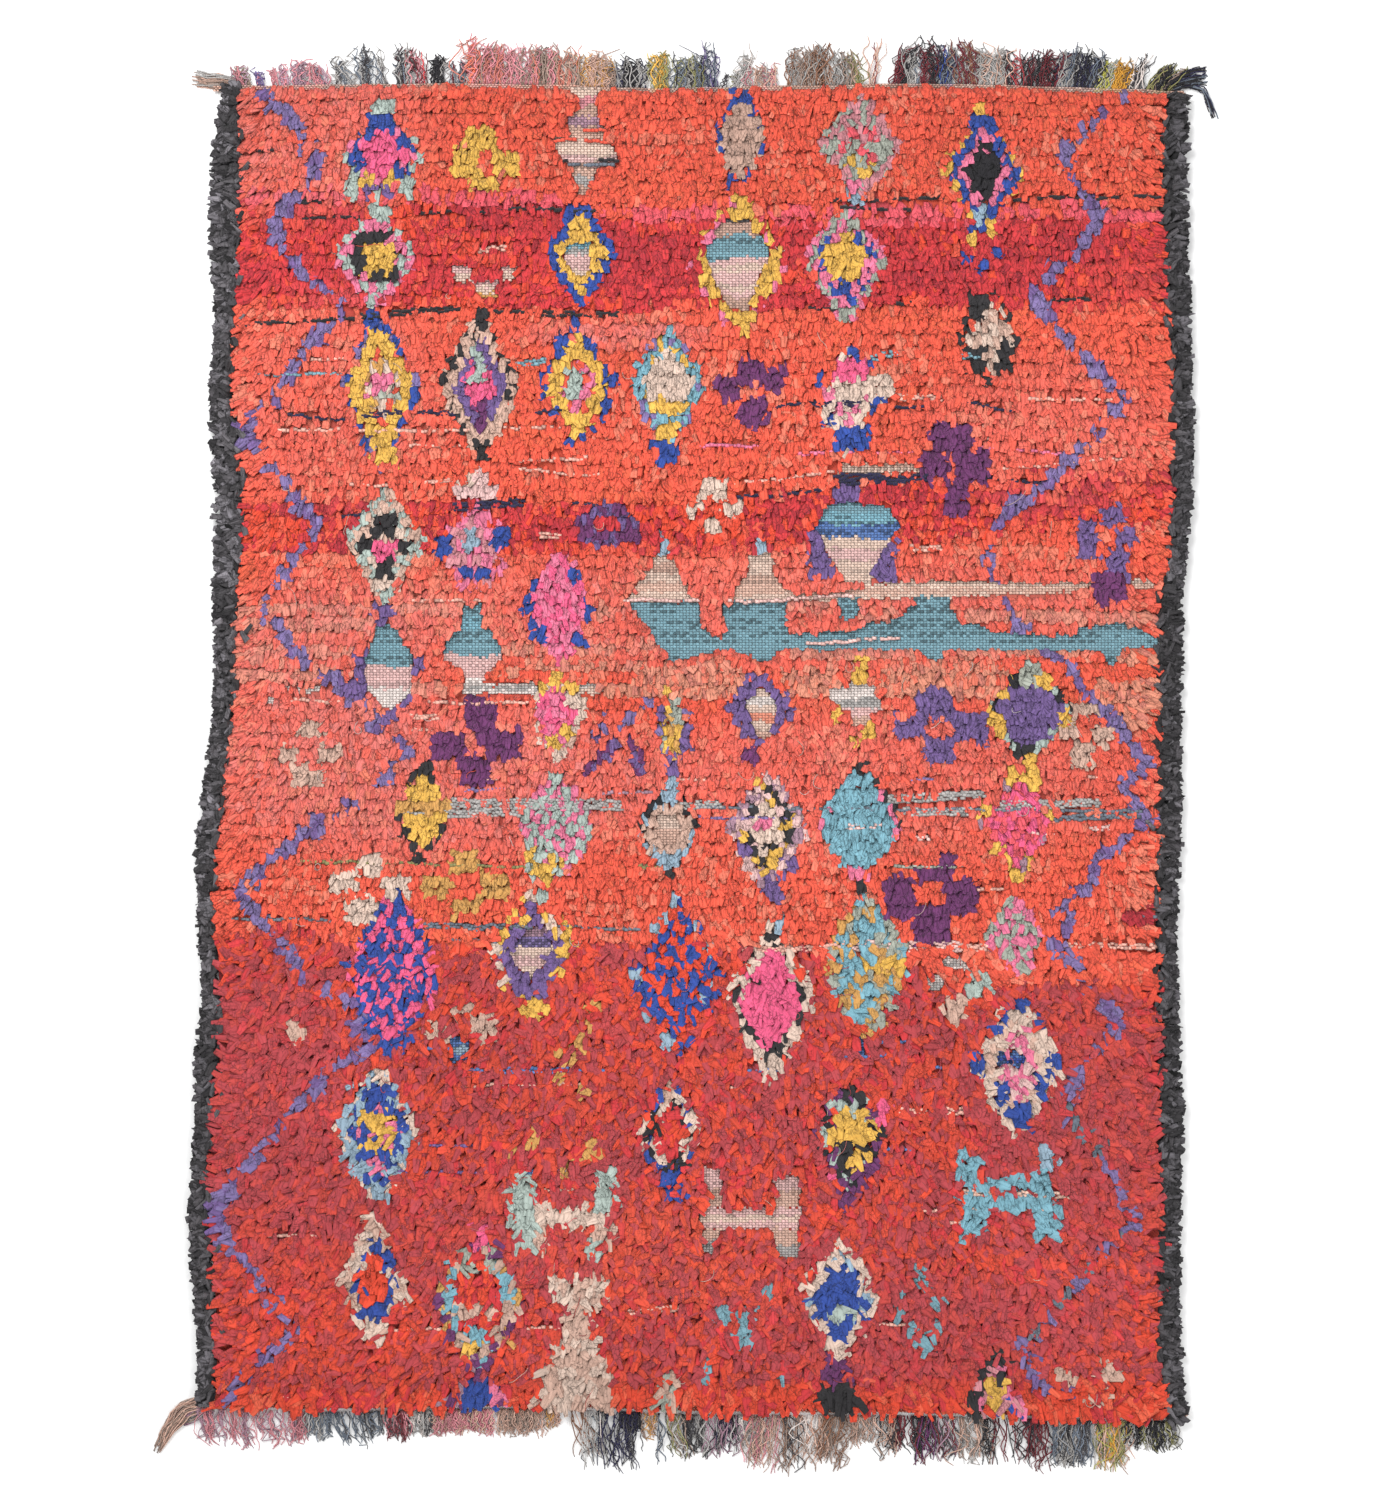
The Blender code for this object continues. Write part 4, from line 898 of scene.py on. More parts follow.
# visible runs of weft by dye: first and last column, the row at each, and how many picks lie side by
# side
runTable = [
    ("black", [
        (256, 284, 150, 150, 1), (300, 365, 219, 216, 1), (415, 490, 212, 212, 1),
        (490, 600, 208, 211, 1), (230, 345, 326, 318, 1), (345, 380, 318, 316, 2),
        (386, 460, 314, 308, 2), (495, 540, 311, 312, 1), (540, 622, 314, 314, 2),
        (830, 945, 201, 197, 1), (835, 910, 208, 210, 1), (915, 945, 206, 211, 1),
        (1012, 1120, 199, 197, 1), (1137, 1168, 195, 198, 1), (883, 915, 303, 303, 1),
        (803, 835, 306, 310, 1), (1040, 1092, 300, 299, 1), (300, 324, 201, 204, 2)]),
    ("coral", [(555, 614, 140, 143, 1), (585, 606, 131, 131, 1)]), ("black", [(562, 620, 161, 160, 1)]),
    ("slate", [(566, 616, 165, 164, 1)]), ("charcoal", [(726, 746, 220, 220, 1)]),
    ("teal", [
        (256, 345, 374, 374, 1), (515, 548, 364, 361, 2), (872, 900, 357, 353, 2),
        (962, 985, 356, 354, 2)]),
    ("navy", [
        (286, 345, 415, 420, 1), (360, 382, 415, 414, 2), (384, 402, 412, 412, 2),
        (417, 456, 412, 414, 2), (455, 524, 507, 501, 3), (536, 562, 412, 409, 1),
        (340, 362, 516, 514, 1), (835, 880, 481, 479, 4), (876, 928, 480, 478, 3),
        (735, 822, 498, 491, 1), (772, 800, 406, 404, 1), (812, 860, 404, 404, 2),
        (872, 925, 406, 409, 1), (968, 1014, 403, 411, 1), (985, 1042, 478, 484, 1),
        (570, 600, 503, 504, 1)]),
    ("cream", [
        (735, 836, 484, 471, 1), (1000, 1122, 470, 457, 1), (312, 352, 358, 358, 1),
        (360, 480, 430, 431, 1), (410, 462, 446, 446, 1), (520, 575, 460, 459, 1),
        (574, 588, 460, 457, 1), (280, 340, 430, 430, 1), (505, 560, 428, 427, 1),
        (425, 455, 481, 483, 1), (352, 388, 484, 485, 1), (520, 600, 470, 475, 1),
        (900, 942, 398, 398, 2), (1030, 1112, 399, 400, 1), (985, 992, 426, 448, 1),
        (820, 860, 427, 424, 1), (540, 560, 535, 536, 2), (912, 942, 548, 548, 2),
        (478, 506, 250, 247, 2), (410, 450, 482, 480, 1)]),
    ("pink", [
        (700, 762, 447, 445, 1), (800, 858, 453, 452, 1), (878, 915, 452, 451, 1),
        (982, 1062, 447, 453, 1)]),
    ("cream", [
        (410, 482, 601, 600, 1), (292, 339, 701, 701, 1), (430, 540, 703, 702, 1),
        (412, 438, 717, 718, 2), (412, 432, 730, 731, 1), (480, 502, 780, 778, 1)]),
    ("white", [
        (624, 700, 601, 600, 1), (730, 852, 601, 596, 1), (808, 900, 643, 638, 1),
        (845, 962, 945, 947, 4)]),
    ("cream", [
        (742, 846, 950, 946, 2), (962, 1010, 948, 947, 3), (1062, 1157, 946, 948, 2),
        (979, 1005, 889, 889, 1)]),
    ("white", [
        (845, 882, 827, 826, 2), (915, 930, 839, 838, 2), (1092, 1112, 829, 828, 2),
        (1030, 1056, 832, 834, 1)]),
    ("cream", [(1090, 1100, 776, 776, 1), (680, 710, 780, 778, 1)]),
    ("grey", [(452, 622, 803, 805, 4), (404, 424, 813, 813, 1), (445, 522, 814, 812, 3)]),
    ("lilac", [(465, 506, 790, 788, 1)]), ("mauve", [(600, 652, 793, 792, 1)]),
    ("grey", [
        (682, 722, 806, 804, 3), (885, 985, 798, 796, 3), (905, 972, 811, 812, 3),
        (1000, 1100, 805, 803, 3)]),
    ("slate", [(1055, 1140, 819, 816, 2)]), ("lilac", [(912, 945, 780, 779, 1)]),
    ("slate", [(700, 1150, 807, 812, 1)]), ("lilac", [(700, 800, 818, 818, 1)]),
    ("olive", [(300, 420, 861, 864, 1), (420, 552, 864, 868, 1), (640, 660, 866, 867, 1)]),
    ("sage", [(896, 965, 867, 866, 1)]),
    ("slate", [
        (232, 330, 919, 920, 1), (425, 532, 926, 928, 2), (560, 640, 926, 929, 1),
        (1140, 1157, 918, 918, 1), (452, 500, 940, 942, 1)]),
    ("blue", [
        (874, 907, 1043, 1042, 1), (846, 888, 1056, 1056, 1), (745, 800, 1070, 1070, 1),
        (914, 962, 1067, 1067, 1), (470, 482, 1072, 1072, 2), (490, 514, 1072, 1070, 3),
        (520, 570, 1071, 1070, 2), (580, 612, 1070, 1070, 1), (420, 448, 1049, 1048, 1),
        (520, 565, 1172, 1170, 2), (875, 912, 1150, 1150, 1)]),
    ("violet", [(430, 485, 1145, 1146, 1), (395, 500, 1172, 1172, 1)]),
    ("cream", [
        (460, 535, 1086, 1085, 1), (560, 590, 1084, 1086, 1), (720, 756, 1087, 1087, 1),
        (898, 926, 1112, 1111, 2), (948, 966, 1112, 1111, 3), (265, 319, 1236, 1236, 1),
        (380, 442, 1330, 1328, 1), (520, 565, 1328, 1327, 1), (625, 690, 1313, 1307, 2),
        (272, 305, 1397, 1397, 1), (655, 672, 1296, 1297, 1), (880, 905, 1325, 1326, 1)]),
    ("beige", [(965, 1072, 1192, 1196, 2), (965, 1050, 1209, 1210, 1)]),
    ("cream", [(925, 948, 1210, 1211, 1), (940, 960, 1223, 1223, 1)]),
    ("tan", [(545, 575, 1190, 1190, 1)]),
]
weftRuns = [(name, *run) for name, runs in runTable for run in runs]

# the pile: knots on a grid, each of several locks; longStarts is where the long locks set in
pile = {
    "rows": 102, "columns": 100, "seed": 5, "sideJitter": 0.09, "inside": (0.001, 0.999),
    "rowWander": 2.0, "rowStride": 31.0, "rowCell": 60.0, "longStarts": (905.0, 985.0),
    "startWander": 14.0, "startCell": 60.0, "seenShare": 0.62, "fanned": (0.90, 1.0),
    "reachChange": (0.7, 1.3), "overhang": 0.55, "overhangs": (0.970, 0.990), "endReach": 0.35,
    "endReaches": (0.982, 0.992), "rim": 1.0, "drawnShare": (0.35, 0.85), "drawnAtFlat": 0.35,
    "leastReach": 0.35, "widthChange": (0.65, 1.35), "topChange": 0.0014, "topWave": 0.0010,
    "topCell": 45.0, "lightChange": 0.06, "lightWave": 0.05, "lightCell": 90.0,
    "topShade": 0.11, "topRows": (120, 330), "lowShade": 0.03, "lowRows": (930, 1000),
    "endShade": 0.10, "endRows": (1350, 1385),
}
# short cropped locks and long leaf-like ones; subRow is how far every other lock is moved down its row
shortLocks = {
    "perKnot": 5, "subRow": 0.30, "rowJitter": 0.10, "low": 0.0092, "high": 0.0148, "width": 0.0096,
    "reach": 0.0212, "spread": 0.25, "bend": 0.26, "lean": 0.10, "twist": 0.20,
    "crumple": (0.0004, 0.0008), "crease": (0.0006, 0.0016),
}
longLocks = {
    "perKnot": 4, "subRow": 0.40, "rowJitter": 0.15, "low": 0.0098, "high": 0.0168, "width": 0.0116,
    "reach": 0.0270, "spread": 0.36, "bend": 0.50, "lean": 0.60, "twist": 0.24,
    "crumple": (0.0004, 0.0008), "crease": (0.0006, 0.0018),
}
# shade: painted shade along a lock from root to tip, with a slight painted highlight at the tip
shortForm = {
    "forward": [0.0, 0.48, 1.0], "rise": [0.0, 0.90, 1.0], "spread": [0.7, 1.1, 0.85],
    "creaseShare": [0.5, 1.0, 0.7], "shade": [0.80, 0.98, 1.02], "riseChange": 0.12, "skin": 0.0004,
    "floor": 0.0015, "smooth": False,
}
longForm = {
    "forward": [0.0, 0.42, 1.0], "rise": [0.0, 0.88, 1.0], "spread": [0.55, 1.1, 0.62],
    "creaseShare": [0.5, 1.0, 0.6], "shade": [0.76, 0.96, 1.02], "riseChange": 0.10, "skin": 0.0004,
    "floor": 0.0015, "smooth": False,
}


# Where each run of weft lies at a column: its two rows joined by a straight line, wandering slightly
def runRow(run, column):
    _, first, last, start, end, _ = run
    wander = weft["wander"] * softNoise(column, column * 0 + start, weft["wanderCell"], "runLine")
    return start + (end - start) * (column - first) / (last - first) + wander


# Whether places lie on a bare line where the weft shows
def onBareLine(column, row):
    bare = np.zeros(column.shape, bool)
    for run in weftRuns:
        _, first, last, _, _, picks = run
        away = row - runRow(run, column)
        above, below = (reach + weft["bareEachPick"] * picks for reach in weft["bareReach"])
        bare |= (column > first) & (column < last) & (away > -above) & (away < below)
    patches = softNoise(column, row * weft["bareStride"], weft["bareCell"], "bareLine")
    return bare & (patches > weft["bareFloor"])


# Whether roots fall past the ends or the sides of the pile
def outsidePile(column, row):
    outside = row < endRow(shortEnd, column) + pile["rim"]
    outside |= row > endRow(longEnd, column) - pile["rim"]
    return outside | (column < sideColumn(leftSide, row, 2)) | (column > sideColumn(rightSide, row, 2))


# Locks side by side in each knot of the grid, headed down the rug and outwards at its sides. The
# grid gives the place where a lock is seen, and its root lies back from there against its heading;
# a root that would fall outside the pile or in a flat place is drawn in and its lock is shorter.
def knotLocks(kind, rng):
    perKnot = kind["perKnot"]
    i, j, k = np.meshgrid(np.arange(pile["rows"]), np.arange(pile["columns"]), np.arange(perKnot),
                          indexing="ij")
    i, j, k = i.ravel(), j.ravel(), k.ravel()
    count = len(i)
    u = (j + (k + 0.5) / perKnot + rng.normal(0, pile["sideJitter"], count)) / pile["columns"]
    subRow = kind["subRow"] * ((k % 2) - 0.5)
    v = (i + 0.5 + subRow + rng.normal(0, kind["rowJitter"], count)) / pile["rows"]
    column, row = placeInField(np.clip(u, *pile["inside"]), np.clip(v, *pile["inside"]))
    row = row + pile["rowWander"] * softNoise(column, i * pile["rowStride"], pile["rowCell"], "knotRow")
    startWander = pile["startWander"] * softNoise(column, row, pile["startCell"], "longStart")
    longShare = fade(row + startWander, *pile["longStarts"])
    fromMiddle = (u - 0.5) * 2
    outward = np.sign(fromMiddle) * fade(np.abs(fromMiddle), *pile["fanned"]) + kind["lean"] * fromMiddle
    heading = -np.pi / 2 + outward + rng.normal(0, kind["spread"], count)
    reach = kind["reach"] * rng.uniform(*pile["reachChange"], count)
    overhang = pile["overhang"] * fade(np.abs(fromMiddle), *pile["overhangs"])
    reach *= 1 + overhang * rng.uniform(0, 1, count)
    reach *= 1 + pile["endReach"] * fade(v, *pile["endReaches"])
    back = pile["seenShare"] * reach / chart["step"]
    rootColumn, rootRow = column - np.cos(heading) * back, row + np.sin(heading) * back
    atFlat = flatMask(rootColumn, rootRow)
    drawnIn = outsidePile(rootColumn, rootRow) | atFlat
    drawnShare = np.where(atFlat, pile["drawnAtFlat"], rng.uniform(*pile["drawnShare"], count))
    rootColumn = np.where(drawnIn, column - np.cos(heading) * back * drawnShare, rootColumn)
    rootRow = np.where(drawnIn, row + np.sin(heading) * back * drawnShare, rootRow)
    x, y = toRug(rootColumn, rootRow)
    least = pile["leastReach"]
    locks = {
        "x": x, "y": y, "column": column, "row": row, "heading": heading, "longShare": longShare,
        "reach": np.where(drawnIn, least + (1 - least) * drawnShare, 1.0) * reach,
        "bend": rng.normal(0, kind["bend"], count), "twist": rng.normal(0, kind["twist"], count),
        "width": kind["width"] * rng.uniform(*pile["widthChange"], count),
        "low": np.full(count, kind["low"]),
        "high": kind["high"] + rng.normal(0, pile["topChange"], count)
        + pile["topWave"] * softNoise(column, row, pile["topCell"], "pileTop"),
        "crease": rng.uniform(*kind["crease"], count), "crumple": rng.uniform(*kind["crumple"], count),
    }
    colour = groundDyes(column, row, rng)
    knotShare = rng.uniform(0, 1, (pile["rows"], pile["columns"]))[i, j]
    share = np.clip(0.5 * ((i + j) % 2) + 0.5 * knotShare, 0, justUnderOne)
    locks["drawn"] = motifDyes(column, row, share, colour)
    light = 1 + rng.normal(0, pile["lightChange"], count)
    light = light + pile["lightWave"] * softNoise(column, row, pile["lightCell"], "pileLight")
    # painted shade: the top rows are darker, and so are the rows towards and at the long end
    light -= pile["topShade"] * (1 - fade(row, *pile["topRows"]))
    light -= pile["lowShade"] * fade(row, *pile["lowRows"]) + pile["endShade"] * fade(row, *pile["endRows"])
    locks["dye"] = colour * light[:, None] * lightShare
    locks["bare"] = flatMask(column, row) | (onBareLine(column, row) & ~locks["drawn"])
    return locks


def chosen(locks, mask):
    return {key: value[mask] for key, value in locks.items()}


# pieces of the pile, each between two rows of the chart
pilePieces = [
    (shortLocks, shortForm, pileCloth, [("pileKnotsTop", 0, 370), ("pileKnotsUpper", 370, 690),
                                        ("pileKnotsMiddle", 690, 1500), ("motifKnots", 0, 1500)]),
    (longLocks, longForm, longCloth, [("pileKnotsLong", 0, 1500), ("motifKnotsLong", 0, 1500)]),
]
pileRng = np.random.default_rng(pile["seed"])
for kind, form, cloth, pieces in pilePieces:
    locks = knotLocks(kind, pileRng)
    isLong = locks["longShare"] > 0.5
    standing = ~locks["bare"] & (isLong if kind is longLocks else ~isLong)
    for name, first, last in pieces:
        drawn = locks["drawn"] if name.startswith("motif") else ~locks["drawn"]
        mask = standing & drawn & (locks["row"] >= first) & (locks["row"] < last)
        layLocks(name, chosen(locks, mask), form, cloth,
                                     ["pile_field"], pileRng)

# the ground under the pile: one thin laid cloth, closed all round; its dye is darkened and mixed
# with a dark red, painted shade for the gaps between the locks
ground = {
    "cellsAcross": 40, "cellsAlong": 56, "top": 0.0078, "thickness": 0.0056, "wave": 0.0006,
    "waveCell": 40.0, "seed": 42, "light": 0.62, "pileShadeShare": 0.10, "stripStep": 0.005,
}


# A closed sheet over the field: a grid of shares laid between the sides and ends, slightly wavy
def makeGround():
    u, v = np.meshgrid(np.linspace(0, 1, ground["cellsAcross"] + 1),
                       np.linspace(0, 1, ground["cellsAlong"] + 1), indexing="ij")
    column, row = placeInField(u, v)
    x, y = toRug(column, row)
    top = ground["top"] + ground["wave"] * softNoise(column, row, ground["waveCell"], "groundTop")
    upper = np.stack([x, y, top], -1)
    lower = np.stack([x, y, top - ground["thickness"]], -1)
    points = np.stack([upper, lower]).reshape(-1, 3)
    along = ground["cellsAlong"] + 1
    total = u.size
    i, j = np.meshgrid(np.arange(ground["cellsAcross"]), np.arange(ground["cellsAlong"]), indexing="ij")
    corner = (i * along + j).ravel()
    upperFaces = np.stack([corner, corner + 1, corner + along + 1, corner + along], -1)
    lowerFaces = np.stack([corner, corner + along, corner + along + 1, corner + 1], -1) + total
    index = np.arange(total).reshape(u.shape)
    rim = np.concatenate([index[:, 0], index[-1, 1:], index[-2::-1, -1], index[0, -2:0:-1]])
    after = np.roll(rim, -1)
    rimFaces = np.stack([rim, rim + total, after + total, after], -1)
    faces = upperFaces.tolist() + lowerFaces.tolist() + rimFaces.tolist()
    # painted shade: the ground's dye darkened and mixed with the dark red of the shade under the pile
    colour = groundDyes(column, row, np.random.default_rng(ground["seed"])) * ground["light"]
    colour = colour + dye("underPileShade") * ground["pileShadeShare"]
    strip = np.stack([x, y], -1) / ground["stripStep"]
    return makePiece("groundWeave", points, faces, np.stack([colour, colour]), np.stack([strip, strip]),
                     weftYarn, ["pile_field"])


groundWeave = makeGround()


# Pillows: four corners and a raised middle, closed below
def pillowPiece(name, x, y, level, halfX, halfY, height, colour, replaced):
    count = len(x)
    u, v = np.array([-1.0, 1.0, 1.0, -1.0, 0.0]), np.array([-1.0, -1.0, 1.0, 1.0, 0.0])
    points = np.zeros((count, 5, 3))
    points[:, :, 0] = x[:, None] + halfX[:, None] * u
    points[:, :, 1] = y[:, None] + halfY[:, None] * v
    points[:, :, 2] = level[:, None] + height * np.array([0.0, 0.0, 0.0, 0.0, 1.0])
    start = np.arange(count)[:, None] * 5
    top = np.array([(0, 1, 4), (1, 2, 4), (2, 3, 4), (3, 0, 4)])
    slopes = (start[:, :, None] + top[None]).reshape(-1, 3)
    base = start + np.array([3, 2, 1, 0])
    faces = slopes.tolist() + base.tolist()
    strip = np.zeros((count, 5, 2))
    strip[..., 0], strip[..., 1] = v * 0.5, u * 0.5
    pointColours = np.repeat(colour[:, None, :], 5, axis=1)
    return makePiece(name, points, faces, pointColours, strip, weftYarn, replaced)


# Floats of a plain weave: one pillow over every other warp, shifted by one in the next pick
def makeFlatWeave():
    rng = np.random.default_rng(weave["seed"])
    warpPitch, pickPitch = weave["warpPitch"], weave["pickPitch"]
    picks = np.arange(weave["rows"][0] / pickPitch, weave["rows"][1] / pickPitch)
    warps = np.arange(weave["columns"][0] / warpPitch, weave["columns"][1] / warpPitch)
    pick, warp = np.meshgrid(picks, warps, indexing="ij")
    pick, warp = pick.astype(int).ravel(), warp.astype(int).ravel()
    column, row = (warp + 0.5) * warpPitch, (pick + 0.5) * pickPitch
    colour = np.zeros(column.shape + (3,))
    flat = np.zeros(column.shape, bool)
    bandNoise = weave["bandWander"] * softNoise(column, row, weave["bandCell"], "flatBand")
    for names, stations in flatPlaces:
        inside, share = inStations(column, row + rng.normal(0, weave["rowJitter"], row.shape), stations)
        band = np.clip(share + bandNoise, 0, justUnderOne)
        colour[inside] = pickDye(names, band[inside])
        flat |= inside
    under = (pick + warp) % 2 == 0
    colour[under] *= weave["underShade"]
    # a pick is lighter or darker as a whole, and some picks are dotted with the dark warp
    pickLight = rng.normal(1.0, weave["pickLight"], weave["pickDraws"])[pick]
    dotted = rng.uniform(0, 1, weave["pickDraws"])[pick]
    isTeal = colour[:, 2] > colour[:, 0] * weave["tealRatio"]
    patchy = softNoise(column, pick * weave["patchStride"], weave["patchCell"], "dashedPick")
    dash = isTeal & (dotted < weave["dashes"]) & (patchy > weave["dashPatch"]) & ((warp + pick) % 3 < 2)
    dots = ~isTeal & (dotted > weave["dots"]) & (patchy > weave["dotPatch"]) & (warp % 2 == 0)
    colour *= pickLight[:, None]
    colour[dash] *= weave["dashShade"]
    colour[dots] *= weave["dotShade"]
    x, y = toRug(column[flat], row[flat])
    light = 1 + rng.normal(0, weave["lightChange"], len(x))
    halfX = np.full(len(x), warpPitch * chart["step"] * weave["halfAcross"])
    halfY = np.full(len(x), pickPitch * chart["step"] * weave["halfAlong"])
    level = weave["level"] - weave["sink"] * under[flat]
    return pillowPiece("flatWeave", x, y, level, halfX, halfY, weave["height"],
                       colour[flat] * light[:, None] * weave["light"], ["pile_field"])


# Beads of weft along each run, every other pick half a bead further on
def makeWeftRuns():
    rng = np.random.default_rng(weft["seed"])
    columns, rows, colours = [], [], []
    for run in weftRuns:
        name, first, last, _, _, picks = run
        mix = weft["paleMix"] * (name in weft["paleNames"])
        runDye = dye(name) * (1 - mix) + dye("coral") * mix
        for pick in range(picks):
            at = np.arange(first + (pick % 2) * weft["beadPitch"] / 2, last, weft["beadPitch"])
            at = at[rng.uniform(0, 1, len(at)) < weft["beadShare"]]
            noiseRow = at * 0 + first + weft["dashStride"] * pick
            dashNoise = softNoise(at, noiseRow, weft["dashCell"], "brokenRun")
            at = at[~((dashNoise < weft["darkFloor"]) & (name in weft["darkNames"]))]
            side = (pick - (picks - 1) / 2) * weft["pickStep"]
            columns.append(at)
            rows.append(runRow(run, at) + side + rng.normal(0, weft["rowChange"], len(at)))
            colours.append(runDye * (1 + rng.normal(0, weft["lightChange"], (len(at), 1))))
    column, row, colour = np.concatenate(columns), np.concatenate(rows), np.concatenate(colours)
    x, y = toRug(column, row)
    count, step = len(x), chart["step"]
    level = weft["level"] + rng.normal(0, weft["levelChange"], count)
    halfX = rng.uniform(*weft["beadHalfLength"], count) * step
    halfY = rng.uniform(*weft["beadHalfWidth"], count) * step
    return pillowPiece("weftRuns", x, y, level, halfX, halfY, weft["beadHeight"], colour,
                       ["pile_field"])


flatWeave = makeFlatWeave()
runPiece = makeWeftRuns()
yarnFloor = 0.0002   # the lowest that a yarn lies over the floor


# Rings of three points round each centre, square to the way ahead, with a radius for each station
def tubePoints(centre, radii):
    ahead = np.gradient(centre, axis=1)
    ahead /= np.linalg.norm(ahead, axis=-1, keepdims=True) + 1e-12
    right = np.cross(ahead, np.array([0.0, 0.0, 1.0]))
    right /= np.linalg.norm(right, axis=-1, keepdims=True) + 1e-12
    up = np.cross(right, ahead)
    angle = -2 * np.pi * np.arange(3) / 3
    ring = right[:, :, None, :] * np.cos(angle)[:, None] + up[:, :, None, :] * np.sin(angle)[:, None]
    points = centre[:, :, None, :] + ring * radii[:, :, None, None]
    points[..., 2] = np.maximum(points[..., 2], yarnFloor)
    return points


# Yarns as one piece: each has one dye, and its twist runs along it
def tubePiece(name, points, colour, along, replaced):
    count, stations = points.shape[:2]
    strip = np.zeros(points.shape[:3] + (2,))
    strip[..., 0] = np.arange(3) / 3.0
    strip[..., 1] = along
    pointColours = np.repeat(np.repeat(colour[:, None, None, :], stations, 1), 3, 2)
    return makePiece(name, points, tubeFaces(count, stations, 3), pointColours, strip, warpYarn, replaced)


# loose threads on the pile: how many lie between two rows, and their dyes
threads = {
    "radius": 0.00055, "stations": 9, "level": 0.0178, "levelChange": 0.0006, "arch": 0.0012,
    "step": (0.0018, 0.0050), "turn": 0.38, "turnShare": 0.5, "headingChange": 0.8,
    "columns": (260, 1130), "seed": 91,
    "places": [(120, 560, 16, "cream coral"), (560, 940, 34, "cream white coral"),
               (940, 1400, 120, "rose dustyRed crimson pinkCoral dustyRed cream")],
}


# Each thread walks in equal steps and turns a little more at every one; its middle stands highest
def makeThreads():
    rng = np.random.default_rng(threads["seed"])
    places = threads["places"]
    rows = np.concatenate([rng.uniform(first, last, count) for first, last, count, _ in places])
    colour = np.concatenate([pickDye(names, rng.uniform(0, justUnderOne, count))
                             for _, _, count, names in places])
    count, stations = len(rows), threads["stations"]
    x, y = toRug(rng.uniform(*threads["columns"], count), rows)
    turns = np.cumsum(rng.normal(0, threads["turn"], (count, stations)), axis=1)
    way = -np.pi / 2 + rng.normal(0, threads["headingChange"], (count, 1))
    way = way + np.cumsum(turns * threads["turnShare"], axis=1)
    step = rng.uniform(*threads["step"], (count, 1))
    px = x[:, None] + np.cumsum(step * np.cos(way), axis=1)
    py = y[:, None] + np.cumsum(step * np.sin(way), axis=1)
    rise = np.sin(np.pi * np.linspace(0, 1, stations))[None, :]
    pz = threads["level"] + rng.normal(0, threads["levelChange"], (count, 1)) + threads["arch"] * rise
    points = tubePoints(np.stack([px, py, pz], -1), np.full((count, stations), threads["radius"]))
    return tubePiece("looseThreads", points, colour, np.arange(stations)[None, :, None],
                     ["pile_field"])


threadPiece = makeThreads()

# the dark edges
edge = {
    "perMetre": 1300, "seed": 61, "depth": (-0.12, 0.72), "headingChange": 0.62, "width": 0.0105,
    "widthChange": (0.65, 1.25), "low": 0.003, "high": 0.0160, "highChange": 0.0022,
    "reachChange": (0.75, 1.25), "reachLimits": (0.010, 0.026), "bend": 0.45, "twist": 0.55,
    "crease": (0.0012, 0.0034), "crumple": (0.0008, 0.0018), "lightChange": 0.28,
    "dyes": "charcoalDark charcoal charcoalDark charcoalBlue charcoal charcoalDark charcoal",
    "dyeCell": 14.0, "depthStride": 40.0,
    "light": {"left": (1.55, 1.15), "right": (1.12, 1.00)}, "lightRows": (820.0, 1080.0),
}


# Locks of an edge: rooted between its two lines, headed outwards, as long as they have room
def edgeLocks(side, outwards, rng):
    count = int((side[-1, 0] - side[0, 0]) * edge["perMetre"])
    along = np.sort(rng.uniform(side[0, 0], side[-1, 0], count))
    row = chart["middleRow"] - along / chart["step"]
    inner, outer = sideColumn(side, row, 2), sideColumn(side, row, 1)
    depth = rng.uniform(*edge["depth"], count)
    column = inner + (outer - inner) * depth
    room = np.abs(outer - column) * chart["step"]
    x, y = toRug(column, row)
    heading = (0.0 if outwards > 0 else np.pi) + rng.normal(0, edge["headingChange"], count)
    above, below = edge["light"]["right" if outwards > 0 else "left"]
    light = 1 + rng.normal(0, edge["lightChange"], count)
    light = light * (above + (below - above) * fade(row, *edge["lightRows"]))
    share = 0.5 + 0.5 * softNoise(row, depth * edge["depthStride"], edge["dyeCell"], "edgeDye")
    colour = pickDye(edge["dyes"], np.clip(share, 0, justUnderOne))
    reach = np.clip(room * rng.uniform(*edge["reachChange"], count), *edge["reachLimits"])
    return {
        "x": x, "y": y, "reach": reach, "heading": heading, "bend": rng.normal(0, edge["bend"], count),
        "twist": rng.normal(0, edge["twist"], count),
        "width": edge["width"] * rng.uniform(*edge["widthChange"], count),
        "low": np.full(count, edge["low"]),
        "high": edge["high"] + rng.normal(0, edge["highChange"], count),
        "crease": rng.uniform(*edge["crease"], count), "crumple": rng.uniform(*edge["crumple"], count),
        "dye": colour * light[:, None],
    }


for name, side, outwards, node in (("edgeRagsLeft", leftSide, -1, "edge_left"),
                                   ("edgeRagsRight", rightSide, 1, "edge_right")):
    edgeRng = np.random.default_rng(edge["seed"] + outwards)
    layLocks(name, edgeLocks(side, outwards, edgeRng), longForm, edgeCloth,
                               [node], edgeRng)

